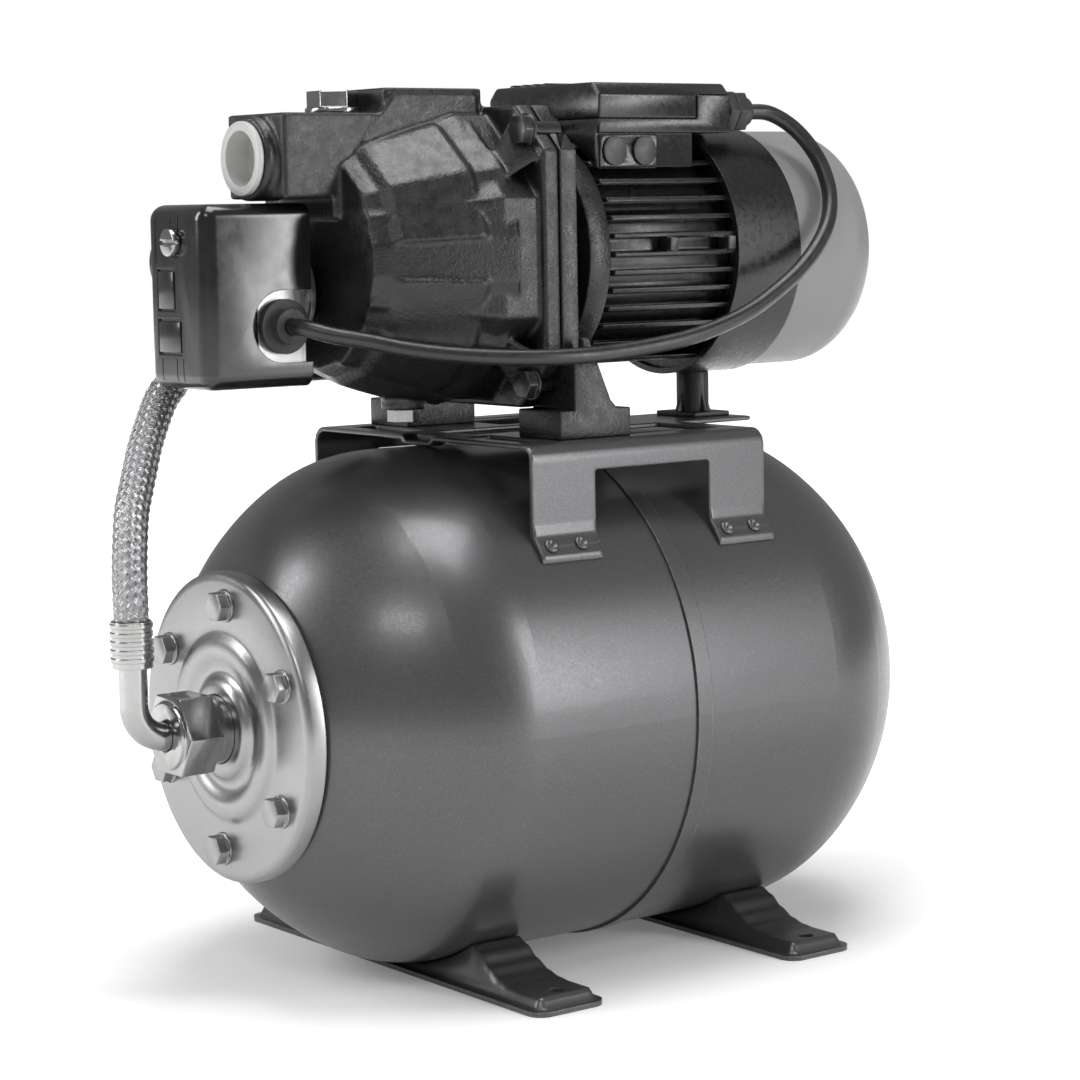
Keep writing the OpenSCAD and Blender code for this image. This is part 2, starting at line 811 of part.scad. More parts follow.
module motor_frame() {
    pitch = 9;
    fin_t = 2.4;
    flat_z = axis_z + 53;
    color([0.15, 0.15, 0.16]) difference() {
        union() {
            ycyl(54, frame_y0 + 0.02, frame_y1, 0, axis_z);
            intersection() {
                ycyl(fin_r, frame_y0 + 3, frame_y1 - 1, 0, axis_z);
                union() {
                    for (i = [-6 : 6])
                        block(
                            [-70, 0, axis_z + i * pitch - fin_t / 2],
                            [70, 90, axis_z + i * pitch + fin_t / 2]
                        );
                }
            }
            // side lugs
            for (y = [40, 78])
                block([fin_r - 6, y, axis_z + 1], [fin_r + 2.5, y + 5, axis_z + 8]);
        }
        ycyl(50, -10, 99, 0, axis_z);
        zcyl(9, axis_z + 30, 500, 0, 58);
    }
}

module rear_shield() {
    color([0.06, 0.06, 0.06]) difference() {
        union() {
            ytube(shield_r, 61.2, frame_y1 - 2, 93, 0, axis_z);
            ytube(shield_r, 54.5, 86.2, 100, 0, axis_z);
            ytube(shield_r, 58, 99, shield_y1, 0, axis_z);
            ycyl(60, 107, 111, 0, axis_z);
            ycyl(24, 92, 112, 0, axis_z);
            ytube(49.8, 46.5, 81, 108, 0, axis_z);
            for (a = [0 : 60 : 300]) translate([0, 0, axis_z]) rotate([0, a, 0])
                block([20, 98, -2], [60, 110, 2]);
        }
        ycyl(bearing_r + 0.05, 80, 107, 0, axis_z);
        ycyl(8.2, 80, 130, 0, axis_z);
        for (a = [30 : 60 : 330]) translate([0, 0, axis_z]) rotate([0, a, 0])
            ycyl(7, 90, 130, 40, 0);
    }
}

module fan() {
    color("black") difference() {
        union() {
            ycyl(11, 128, 149, 0, axis_z);
            ycyl(52, 131, 133, 0, axis_z);
            for (a = [0 : 45 : 315]) translate([0, 0, axis_z]) rotate([0, a, 0])
                block([9, 132, -1.2], [52, 152, 1.2]);
        }
        ycyl(5.02, 120, 160, 0, axis_z);
    }
}

module fan_cover() {
    y1 = shield_y1 + fan_cover_l;
    corner = 19;
    wall = 1.6;
    color([0.5, 0.5, 0.52]) difference() {
        yturn(0, axis_z) difference() {
            fan_cover_outline(shield_y1 + 0.02, y1, fan_cover_r, corner);
            fan_cover_outline(shield_y1 - 5, y1 - wall, fan_cover_r - wall, corner - wall);
        }
        for (a = [0 : 15 : 345]) translate([0, 0, axis_z]) rotate([0, a, 0])
            block([a % 30 == 0 ? 14 : 24, y1 - 9, -1.6], [41, y1 + 9, 1.6]);
    }
}

module fan_cover_outline(y0, y1, r, corner) {
    translate([0, y0]) square([r, y1 - corner - y0]);
    translate([0, y0]) square([r - corner, y1 - y0]);
    intersection() {
        translate([r - corner, y1 - corner]) circle(r = corner, $fn = round_fn);
        translate([0, y1 - corner - 1]) square([r, corner + 1]);
    }
}

module motor_support() {
    top = axis_z - 45;
    color([0.07, 0.07, 0.07]) difference() {
        union() {
            zcyl(8.5, bracket_top, top, 0, support_y);
            block([-16, support_y - 12, bracket_top], [16, support_y + 12, bracket_top + 2.5]);
            for (a = [0 : 90 : 270]) translate([0, support_y, 0]) rotate([90, 0, a])
                translate([0, 0, -1.2]) linear_extrude(2.4)
                    polygon([
                        [7, bracket_top + 1], [12, bracket_top + 1],
                        [8, bracket_top + 14], [7, bracket_top + 14]
                    ]);
        }
        ycyl(shield_r + 0.02, 60, 140, 0, axis_z);
        zcyl(2.6, 200, 285, 0, support_y);
    }
}

// ---- terminal box ----

module box_base() {
    wall = 2.5;
    neck_y0 = 8;
    neck_y1 = 71;
    color([0.1, 0.1, 0.1]) difference() {
        union() {
            block([-neck_x, neck_y0, axis_z + 30], [neck_x, neck_y1, tray_z + 1]);
            block([neck_x - 1, 10, knockout_z - 8], [neck_x + 1.5, 47, knockout_z + 8]);
            block([-box_x, box_y0, tray_z], [box_x, box_y1, lid_z]);
            block([16, box_y1 - 22, lid_z - 6], [box_x, box_y1, lid_z + 12]);
        }
        ycyl(fin_r + 0.05, 0, 99, 0, axis_z);
        ycyl(shield_r + 0.3, frame_y1 - 3, 99, 0, axis_z);
        difference() {
            block([wall - neck_x, neck_y0 + wall, axis_z], [neck_x - wall, neck_y1 - wall, lid_z + 1]);
            ycyl(fin_r + wall, 0, 99, 0, axis_z);
        }
        block([wall - box_x, box_y0 + wall, tray_z + wall], [box_x - wall, box_y1 - wall - 22, lid_z + 1]);
        block([16 + wall, box_y1 - 24, lid_z - 3], [box_x - wall, box_y1 - wall, lid_z + 13]);
        zcyl(9, 300, 500, 0, 58);
        for (y = [19, 38]) xcyl(6.2, 30, 50, y, knockout_z);
        ycyl(8.1, box_y1 - 6, box_y1 + 5, gland_x, gland_z);
    }
}

module box_lid() {
    wall = 2.5;
    slope = 6;
    color([0.1, 0.1, 0.1]) difference() {
        union() {
            translate([0, box_y1, 0]) rotate([90, 0, 0]) linear_extrude(box_y1 - box_y0)
                polygon([
                    [-box_x, lid_z + 0.02], [box_x, lid_z + 0.02], [box_x, box_z1 - slope],
                    [box_x - slope, box_z1], [slope - box_x, box_z1], [-box_x, box_z1 - slope]
                ]);
            for (i = [0 : 3])
                block([-36 + 9 * i, box_y0 + 6, box_z1 - 1], [-33 + 9 * i, box_y1 - 12, box_z1 + 1.5]);
        }
        translate([0, box_y1 - wall, 0]) rotate([90, 0, 0]) linear_extrude(box_y1 - box_y0 - 2 * wall)
            polygon([
                [wall - box_x, lid_z - 1], [box_x - wall, lid_z - 1], [box_x - wall, box_z1 - slope - 1],
                [box_x - slope - 1, box_z1 - wall], [slope + 1 - box_x, box_z1 - wall],
                [wall - box_x, box_z1 - slope - 1]
            ]);
        block([16 - 0.3, box_y1 - 22.3, lid_z - 9], [box_x + 1, box_y1 + 1, lid_z + 12.3]);
    }
}

module terminal_block() {
    floor_z = axis_z + fin_r + 2.6;
    color("ivory") difference() {
        block([-28, 24, floor_z], [-4, 66, floor_z + 13]);
        for (x = [-22, -10], y = [29 : 8 : 61]) zcyl(2, floor_z + 5, floor_z + 20, x, y);
    }
}

module capacitor() {
    color("white") ycyl(8.5, 20, 68, 26, tray_z + 13.5);
}

module knockout_plugs() {
    color([0.1, 0.1, 0.1]) for (y = [19, 38]) {
        xcyl(6.1, neck_x - 1, neck_x + 1.6, y, knockout_z);
        xcyl(7.2, neck_x + 1.52, neck_x + 3, y, knockout_z);
    }
}

module cable_gland() {
    y = box_y1;
    color([0.08, 0.08, 0.08]) difference() {
        union() {
            ycyl(8, y - 4, y + 1, gland_x, gland_z);
            yhex(20, y + 0.02, y + 6, gland_x, gland_z);
            yhex(19, y + 7, y + 14, gland_x, gland_z);
            ycyl(8.5, y + 6 - eps, y + 7 + eps, gland_x, gland_z);
            ycyl(7.5, y + 14 - eps, y + 18, gland_x, gland_z);
        }
        ycyl(cable_r + 0.1, y - 9, y + 40, gland_x, gland_z);
    }
}

module cable() {
    color([0.08, 0.08, 0.08]) swept_tube(cable_points, cable_r, 10);
}

// ---- pressure switch ----

module switch_base() {
    color("silver") difference() {
        union() {
            block(
                [switch_x - 24, plate_front, switch_z0 + 4],
                [switch_x + 24, plate_front + 3, switch_z1 - 4]
            );
            // side tabs that hold the grommets, and the lever's ears and pin
            for (s = [-1, 1]) {
                x = switch_x + s * (tab_x + 1);
                block([x - 1, grommet_y - 13, grommet_z - 20], [x + 1, plate_front + 1, grommet_z + 24]);
                ear = switch_x + s * 13.4;
                block(
                    [ear - 1, lever_pivot_y - 4, lever_pivot_z - 4],
                    [ear + 1, plate_front + 1, lever_pivot_z + 4]
                );
            }
            xcyl(1.55, switch_x - 14, switch_x + 14, lever_pivot_y, lever_pivot_z, 48);
        }
        for (s = [-1, 1]) xcyl(10, switch_x + s * 23 - 5, switch_x + s * 23 + 5, grommet_y, grommet_z);
        ycyl(5, plate_front - 9, plate_front + 9, switch_x, switch_z);
        ycyl(3, plate_front - 9, plate_front + 9, switch_x, switch_z + 26);
    }
}

module switch_cover() {
    wall = 2.2;
    notch = 17;
    color([0.04, 0.04, 0.04]) difference() {
        union() {
            block([switch_x0, switch_front + 4, switch_z0], [switch_x1, cover_back, switch_z1]);
            block(
                [switch_x0 + 3, switch_front, switch_z0 + 3],
                [switch_x1 - 3, switch_front + 5, switch_z1 - 3]
            );
        }
        block(
            [switch_x0 + wall, switch_front + wall + 2, switch_z0 + wall],
            [switch_x1 - wall, cover_back + 1, switch_z1 - wall]
        );
        // notches in the sides for the cable grommets
        for (x = [switch_x0 - 5, switch_x1 - 5]) {
            xcyl(notch, x, x + 10, grommet_y, grommet_z);
            block([x, grommet_y, grommet_z - notch], [x + 10, cover_back + 1, grommet_z + notch]);
        }
        ycyl(4, switch_front - 5, switch_front + 9, switch_x, switch_z + 26);
    }
}

module cover_nut() {
    color([0.06, 0.06, 0.06]) difference() {
        union() {
            ycyl(6.5, switch_front - 4, switch_front - 0.02, switch_x, switch_z + 26);
            ycyl(3.8, switch_front - 0.03, switch_front + 12, switch_x, switch_z + 26);
            ycyl(2.9, switch_front + 11, plate_front + 6, switch_x, switch_z + 26);
        }
        block(
            [switch_x - 7, switch_front - 5, switch_z + 25.2],
            [switch_x + 7, switch_front - 2.4, switch_z + 26.8]
        );
    }
}

module diaphragm_housing() {
    back = plate_front + 3.02;
    color("silver") difference() {
        union() {
            ycyl(22, back, back + 4, switch_x, switch_z);
            ycyl(24, back + 4 - eps, back + 6.5, switch_x, switch_z);
            ycyl(12, back + 6, back + 9, switch_x, switch_z);
            yhex(14, back + 9 - eps, port_face - 1.02, switch_x, switch_z);
            ycyl(6.5, port_face - 1.5, port_face + 8, switch_x, switch_z);
        }
        ycyl(16, back + 1.5, back + 3.5, switch_x, switch_z);
        ycyl(5.2, back - 3, back + 2, switch_x, switch_z);
        ycyl(2.5, back + 3, port_face + 20, switch_x, switch_z);
    }
}

module contact_block() {
    color([0.85, 0.8, 0.7]) difference() {
        union() {
            block(
                [switch_x - 19, plate_front - 14, switch_z - 39],
                [switch_x + 19, plate_front - 0.02, switch_z - 30]
            );
            block(
                [switch_x - 19, plate_front - 24, switch_z - 39],
                [switch_x + 19, plate_front - 13, switch_z - 33]
            );
        }
        for (i = [-1.5 : 1 : 1.5])
            ycyl(2, plate_front - 30, plate_front - 10, switch_x + 10 * i, switch_z - 36);
    }
}

// Lever that rocks on the base and closes the contacts
lever_pivot_z = switch_z + 16;
lever_pivot_y = plate_front - 9;

module contact_lever() {
    color("silver") {
        difference() {
            union() {
                xcyl(3.5, switch_x - 12, switch_x + 12, lever_pivot_y, lever_pivot_z, 48);
                block(
                    [switch_x - 11, lever_pivot_y - 3.5, switch_z - 24],
                    [switch_x + 11, lever_pivot_y - 1.5, lever_pivot_z]
                );
            }
            xcyl(1.6, switch_x - 20, switch_x + 20, lever_pivot_y, lever_pivot_z, 48);
        }
    }
}

module plunger() {
    color("silver") {
        ycyl(4.6, plate_front + 1.6, plate_front + 4.7, switch_x, switch_z);
        ycyl(3.2, lever_pivot_y - 1.2, plate_front + 1.7, switch_x, switch_z);
    }
}

module grommets() {
    color([0.08, 0.08, 0.08]) for (s = [0, 1]) translate([switch_x, 0, 0]) mirror([s, 0, 0])
        difference() {
            union() {
                xcyl(9.9, tab_x - 1, tab_x + 3, grommet_y, grommet_z);
                xcyl(13, tab_x + 2.02, tab_x + 6, grommet_y, grommet_z);
                xcyl(8.5, tab_x + 6 - eps, tab_x + 11.6, grommet_y, grommet_z);
            }
            xcyl(4.1, 0, 50, grommet_y, grommet_z);
        }
}

// ---- pressure gauge ----

gauge_y = -164;
gauge_face = -64;

module gauge_case() {
    color([0.05, 0.05, 0.05]) difference() {
        union() {
            xcyl(20, gauge_face, -43, gauge_y, gauge_z);
            ycyl(5, gauge_y + 17, -138, gauge_x, gauge_z);
            yhex(14, -141, -132.02, gauge_x, gauge_z);
            ycyl(6.5, -132.5, -122, gauge_x, gauge_z);
        }
        xcyl(18.5, gauge_face - 5, -56, gauge_y, gauge_z);
        ycyl(1.5, gauge_y + 15, -120, gauge_x, gauge_z);
    }
}

module gauge_pointer() {
    color("red") {
        xcyl(2, -60.2, -56.3, gauge_y, gauge_z, 48);
        block([-60, gauge_y - 0.7, gauge_z - 14], [-59.2, gauge_y + 0.7, gauge_z + 5]);
    }
}

module gauge_glass() {
    color("lightblue") xcyl(18.4, gauge_face + 0.5, gauge_face + 2, gauge_y, gauge_z);
}

tank_front();
tank_rear();
membrane();
tank_flange();
flange_bolts();
inlet_nipple();
union_nut();
elbow_tube();
hose_ferrules();
hose();
hose_nut();
air_valve();
valve_cap();
foot_front();
foot_rear();
pump_bracket();
pump_casing();
suction_cap();
priming_plug();
drain_plug();
nozzle();
venturi();
diffuser();
impeller();
seal_rotary();
seal_seat();
casing_gasket();
lantern();
casing_bolts();
foot_bolts();
shaft();
rotor_core();
front_bearing();
rear_bearing();
stator_core();
windings();
motor_frame();
rear_shield();
fan();
fan_cover();
motor_support();
box_base();
box_lid();
terminal_block();
capacitor();
knockout_plugs();
cable_gland();
cable();
switch_base();
switch_cover();
cover_nut();
diaphragm_housing();
contact_block();
contact_lever();
plunger();
grommets();
gauge_case();
gauge_pointer();
gauge_glass();
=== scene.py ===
"""Shallow well jet pump on a horizontal pressure tank: looks, camera and light."""
import json
import math

import bmesh
import bpy
from mathutils import Matrix, Vector

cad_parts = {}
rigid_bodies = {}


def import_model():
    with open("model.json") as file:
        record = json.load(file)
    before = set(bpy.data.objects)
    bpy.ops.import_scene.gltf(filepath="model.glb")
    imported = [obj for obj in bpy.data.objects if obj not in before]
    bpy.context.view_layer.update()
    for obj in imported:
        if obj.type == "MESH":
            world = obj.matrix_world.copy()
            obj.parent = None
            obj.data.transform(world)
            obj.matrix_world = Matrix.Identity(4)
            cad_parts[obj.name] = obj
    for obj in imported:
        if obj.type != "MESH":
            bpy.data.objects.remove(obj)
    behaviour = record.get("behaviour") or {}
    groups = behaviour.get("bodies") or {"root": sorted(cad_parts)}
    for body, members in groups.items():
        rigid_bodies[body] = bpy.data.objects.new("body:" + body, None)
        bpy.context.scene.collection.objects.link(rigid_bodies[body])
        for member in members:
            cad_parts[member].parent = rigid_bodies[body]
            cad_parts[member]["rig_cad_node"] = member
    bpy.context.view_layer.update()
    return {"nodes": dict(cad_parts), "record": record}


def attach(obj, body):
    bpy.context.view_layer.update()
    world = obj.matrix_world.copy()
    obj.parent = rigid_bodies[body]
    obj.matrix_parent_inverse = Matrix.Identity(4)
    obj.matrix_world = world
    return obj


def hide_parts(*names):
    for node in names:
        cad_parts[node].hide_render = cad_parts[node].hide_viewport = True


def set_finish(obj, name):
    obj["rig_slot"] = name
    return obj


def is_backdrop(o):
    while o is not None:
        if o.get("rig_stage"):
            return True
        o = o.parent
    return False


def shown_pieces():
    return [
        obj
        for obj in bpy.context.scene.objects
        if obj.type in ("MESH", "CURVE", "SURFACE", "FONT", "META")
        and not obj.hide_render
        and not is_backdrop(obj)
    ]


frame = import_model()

nodes = frame["nodes"]
SLOTS = {s["node"]: s["material_slot"] for s in frame["record"]["subparts"]}


# ---------------------------------------------------------------- camera

CAMERA_AT = Vector((1.1962, -0.8956, 0.3767))
CAMERA_YAW = math.radians(53.09)
CAMERA_PITCH = math.radians(6.506)
CAMERA_ROLL = math.radians(-1.019)
CAMERA_LENS = 97.77


def add_camera():
    """Camera at the viewing angle: yaw round the object, pitch down on it, a slight roll."""
    back = Vector((
        math.sin(CAMERA_YAW) * math.cos(CAMERA_PITCH),
        -math.cos(CAMERA_YAW) * math.cos(CAMERA_PITCH),
        math.sin(CAMERA_PITCH),
    ))
    level = Vector((math.cos(CAMERA_YAW), math.sin(CAMERA_YAW), 0.0))
    upright = back.cross(level)
    right = math.cos(CAMERA_ROLL) * level + math.sin(CAMERA_ROLL) * upright
    up = -math.sin(CAMERA_ROLL) * level + math.cos(CAMERA_ROLL) * upright
    turn = Matrix((right, up, back)).transposed().to_4x4()
    data = bpy.data.cameras.new("camera")
    data.lens = CAMERA_LENS
    data.sensor_width = 36.0
    data.clip_end = 30.0
    camera = bpy.data.objects.new("camera", data)
    bpy.context.scene.collection.objects.link(camera)
    camera.matrix_world = Matrix.Translation(CAMERA_AT) @ turn
    bpy.context.scene.camera = camera


add_camera()


# ---------------------------------------------------------------- mesh helpers

def new_object(name, mesh, body, slot_name, replaced=()):
    """Links a mesh as a piece: it rides on a body, takes a slot and may stand for CAD nodes."""
    piece = bpy.data.objects.new(name, mesh)
    bpy.context.scene.collection.objects.link(piece)
    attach(piece, body)
    if replaced:
        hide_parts(*replaced)
    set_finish(piece, slot_name)
    return piece


def smooth_path(points, steps):
    """Points along a Catmull-Rom curve that passes through the given points."""
    points = [Vector(p) for p in points]
    ends = [2 * points[0] - points[1]] + points + [2 * points[-1] - points[-2]]
    made = []
    for a, b, c, d in zip(ends, ends[1:], ends[2:], ends[3:]):
        for k in range(steps):
            t = k / steps
            made.append(0.5 * (
                2 * b + (c - a) * t + (2 * a - 5 * b + 4 * c - d) * t * t
                + (3 * b - a - 3 * c + d) * t ** 3
            ))
    made.append(points[-1])
    return made


def path_length(points):
    """Length of the line through the points."""
    return sum((b - a).length for a, b in zip(points, points[1:]))


def evenly(points, count):
    """The same line as count + 1 points an equal distance apart."""
    step = path_length(points) / count
    made, along, want = [points[0].copy()], 0.0, step
    for a, b in zip(points, points[1:]):
        piece = (b - a).length
        while piece > 0 and want <= along + piece + 1e-12 and len(made) < count:
            made.append(a.lerp(b, (want - along) / piece))
            want += step
        along += piece
    made.append(points[-1].copy())
    return made


def tube_mesh(name, path, radius, sides, relief=None):
    """Closed tube along path. relief(turn, along) gives how far a point stands in from radius."""
    bm = bmesh.new()
    layer = bm.loops.layers.uv.new("strands")
    guide = (path[1] - path[0]).orthogonal().normalized()
    along, rings, stations = 0.0, [], []
    for i, centre in enumerate(path):
        ahead = (path[min(i + 1, len(path) - 1)] - path[max(i - 1, 0)]).normalized()
        guide = (guide - ahead * guide.dot(ahead)).normalized()
        across = ahead.cross(guide)
        if i:
            along += (centre - path[i - 1]).length
        stations.append(along)
        ring = []
        for k in range(sides):
            turn = k / sides
            r = radius - (relief(turn, along) if relief else 0.0)
            angle = 2 * math.pi * turn
            ring.append(bm.verts.new(
                centre + r * (math.cos(angle) * guide + math.sin(angle) * across)
            ))
        rings.append(ring)
    for i in range(len(rings) - 1):
        for k in range(sides):
            n = (k + 1) % sides
            face = bm.faces.new((rings[i][k], rings[i][n], rings[i + 1][n], rings[i + 1][k]))
            face.smooth = True
            corners = ((k, i), (k + 1, i), (k + 1, i + 1), (k, i + 1))
            for loop, (u, v) in zip(face.loops, corners):
                loop[layer].uv = (u / sides, stations[v])
    bm.faces.new(list(reversed(rings[0])))
    bm.faces.new(rings[-1])
    bmesh.ops.recalc_face_normals(bm, faces=bm.faces)
    mesh = bpy.data.meshes.new(name)
    bm.to_mesh(mesh)
    bm.free()
    return mesh


# ---------------------------------------------------------------- cords

# Hose: radius and the points that its middle line passes through, in metres
HOSE_R = 0.0085
HOSE_POINTS = [
    (0.000, -0.236, 0.188), (0.000, -0.236, 0.196), (-0.002, -0.235, 0.205),
    (-0.005, -0.233, 0.215), (-0.009, -0.230, 0.226), (-0.014, -0.226, 0.237),
    (-0.020, -0.220, 0.247), (-0.026, -0.214, 0.256), (-0.032, -0.208, 0.265),
    (-0.037, -0.202, 0.273), (-0.042, -0.196, 0.280), (-0.046, -0.190, 0.287),
    (-0.049, -0.183, 0.293), (-0.051, -0.176, 0.299), (-0.052, -0.168, 0.303),
    (-0.052, -0.160, 0.305),
]
STRANDS = 10                 # strands that run one way round the hose
STRAND_PITCH = 0.0050        # along the hose, from one strand to the next
STRAND_HEIGHT = 0.0009
HOSE_RINGS, HOSE_SIDES = 300, 96
WIRES_PER_STRAND = 4

# Cable: radius and the points that its middle line passes through, in metres
CABLE_R = 0.004
CABLE_POINTS = [
    (0.036, 0.113, 0.423), (0.039, 0.128, 0.422), (0.046, 0.140, 0.413),
    (0.055, 0.147, 0.398), (0.063, 0.147, 0.382), (0.070, 0.140, 0.367),
    (0.075, 0.128, 0.354), (0.079, 0.112, 0.342), (0.082, 0.094, 0.332),
    (0.085, 0.074, 0.323), (0.087, 0.052, 0.316), (0.088, 0.030, 0.311),
    (0.088, 0.008, 0.308), (0.088, -0.014, 0.306), (0.088, -0.036, 0.305),
    (0.085, -0.058, 0.305), (0.079, -0.080, 0.306), (0.071, -0.101, 0.308),
    (0.062, -0.119, 0.311), (0.052, -0.134, 0.315), (0.042, -0.147, 0.318),
    (0.034, -0.155, 0.321), (0.027, -0.157, 0.322), (0.022, -0.157, 0.322),
]
CABLE_RINGS, CABLE_SIDES = 260, 28
CURVE_STEPS = 12             # points on the curve between two of the points above


def braid_relief(turn, along):
    """Depth of the woven surface: two families of round strands that pass over and under."""
    a = STRANDS * turn + along / STRAND_PITCH
    b = STRANDS * turn - along / STRAND_PITCH
    over = math.sin(math.pi * a) * math.sin(math.pi * b)
    round_a = math.sqrt(abs(math.sin(math.pi * a)))
    round_b = math.sqrt(abs(math.sin(math.pi * b)))
    top = max(round_a * (0.55 + 0.45 * over), round_b * (0.55 - 0.45 * over))
    return STRAND_HEIGHT * (1.0 - top)


def add_hose():
    """Braided hose from the tank's union to the pump."""
    path = evenly(smooth_path(HOSE_POINTS, CURVE_STEPS), HOSE_RINGS)
    mesh = tube_mesh("hose_braid", path, HOSE_R, HOSE_SIDES, braid_relief)
    hose = new_object("hose_braid", mesh, "body", "braid", replaced=["hose"])


def add_cable():
    """Motor cable from the terminal box's gland to the pressure switch."""
    path = evenly(smooth_path(CABLE_POINTS, CURVE_STEPS), CABLE_RINGS)
    mesh = tube_mesh("cable_sheath", path, CABLE_R, CABLE_SIDES)
    cable = new_object("cable_sheath", mesh, "body", "cable_sheath", replaced=["cable"])


add_hose()
add_cable()


# ---------------------------------------------------------------- materials

class Graph:
    """Short way to write a material's nodes."""

    def __init__(self, name):
        self.material = bpy.data.materials.new(name)
        self.material.use_nodes = True
        self.tree = self.material.node_tree
        self.shader = self.tree.nodes["Principled BSDF"]
        self.spot = 0

    def add(self, kind, settings=None, **inputs):
        node = self.tree.nodes.new(kind)
        self.spot += 1
        node.location = (-220 * (self.spot % 8) - 250, -200 * (self.spot // 8))
        for key, value in (settings or {}).items():
            setattr(node, key, value)
        for key, value in inputs.items():
            self.put(node.inputs[self.socket(key)], value)
        return node

    @staticmethod
    def socket(key):
        """A socket's name from a keyword, or its number from i and digits."""
        if key[0] == "i" and key[1:].isdigit():
            return int(key[1:])
        return key.replace("_", " ")

    def put(self, socket, value):
        if isinstance(value, bpy.types.NodeSocket):
            self.tree.links.new(value, socket)
        else:
            socket.default_value = value

    def math(self, operation, a, b=0.0, clamp=False):
        node = self.add("ShaderNodeMath", {"operation": operation, "use_clamp": clamp})
        self.put(node.inputs[0], a)
        self.put(node.inputs[1], b)
        return node.outputs[0]

    def ramp(self, value, low, high, out_low=0.0, out_high=1.0):
        node = self.add("ShaderNodeMapRange")
        for key, v in (("Value", value), ("From Min", low), ("From Max", high),
                       ("To Min", out_low), ("To Max", out_high)):
            self.put(node.inputs[key], v)
        return node.outputs[0]

    def mix(self, factor, a, b):
        node = self.add("ShaderNodeMix", {"data_type": "RGBA"})
        self.put(node.inputs[0], factor)
        self.put(node.inputs[6], a)
        self.put(node.inputs[7], b)
        return node.outputs[2]

    def noise(self, where, scale, detail=3.0, roughness=0.55):
        node = self.add("ShaderNodeTexNoise")
        self.put(node.inputs["Vector"], where)
        self.put(node.inputs["Scale"], scale)
        self.put(node.inputs["Detail"], detail)
        self.put(node.inputs["Roughness"], roughness)
        return node.outputs[0]


def tint(colour, factor):
    return tuple(min(1.0, c * factor) for c in colour) + (1.0,)


def surface(
    name, colour, rough, metal=0.0, vary=0.18, vary_scale=14.0, grain=900.0, grain_depth=0.00006,
    speckle=0.0, wear_and_edge_sheen=0.0, wear_and_sheen_colour=(0.3, 0.3, 0.3), edge=0.0006, coat=0.0, spread=0.08,
    stretch=None, specular=0.5,
):
    """Procedural finish: slow colour drift, fine grain in bump and roughness, lighter edges that
    are partly worn paint and partly painted highlight.
    """
    g = Graph(name)
    where = g.add("ShaderNodeTexCoord").outputs["Object"]
    fine = where
    if stretch:
        fine = g.add("ShaderNodeMapping", Vector=where, Scale=stretch).outputs[0]
    drift = g.noise(where, vary_scale, 4.0)
    grit = g.noise(fine, grain, 3.0, 0.6)
    base = g.mix(g.ramp(drift, 0.3, 0.7), tint(colour, 1 - vary), tint(colour, 1 + vary))
    if speckle:
        spots = g.ramp(g.noise(where, grain * 0.8, 1.0), 0.56, 0.72, 0.0, speckle)
        base = g.mix(spots, base, tint(colour, 2.6))
    rounded = g.add("ShaderNodeBevel", {"samples": 4}, Radius=edge)
    normal = rounded.outputs[0]
    # lighter colour along the edges: partly worn paint, partly a painted highlight on the edges
    if wear_and_edge_sheen:
        wide = g.add("ShaderNodeBevel", {"samples": 4}, Radius=edge * 2.2).outputs[0]
        flat = g.add("ShaderNodeNewGeometry").outputs["Normal"]
        same = g.add("ShaderNodeVectorMath", {"operation": "DOT_PRODUCT"})
        g.put(same.inputs[0], wide)
        g.put(same.inputs[1], flat)
        bare_and_sheen_edge = g.ramp(same.outputs["Value"], 0.995, 0.80, 0.0, 1.0)
        broken = g.ramp(g.noise(where, 260.0, 3.0), 0.40, 0.62, 0.15, 1.0)
        wear_and_sheen_mask = g.math("MULTIPLY", g.math("MULTIPLY", bare_and_sheen_edge, broken), wear_and_edge_sheen, True)
        base = g.mix(wear_and_sheen_mask, base, tint(wear_and_sheen_colour, 1.0))
    g.put(g.shader.inputs["Base Color"], base)
    g.shader.inputs["Metallic"].default_value = metal
    g.put(
        g.shader.inputs["Roughness"],
        g.ramp(g.noise(fine, grain * 0.25, 3.0), 0.3, 0.7,
               max(0.03, rough - spread), min(1.0, rough + spread)),
    )
    bump = g.add("ShaderNodeBump", Height=grit, Normal=normal)
    bump.inputs["Strength"].default_value = 1.0
    bump.inputs["Distance"].default_value = grain_depth
    g.put(g.shader.inputs["Normal"], bump.outputs[0])
    g.shader.inputs["Specular IOR Level"].default_value = specular
    if coat:
        g.shader.inputs["Coat Weight"].default_value = coat
        g.shader.inputs["Coat Roughness"].default_value = 0.12
    return g.material


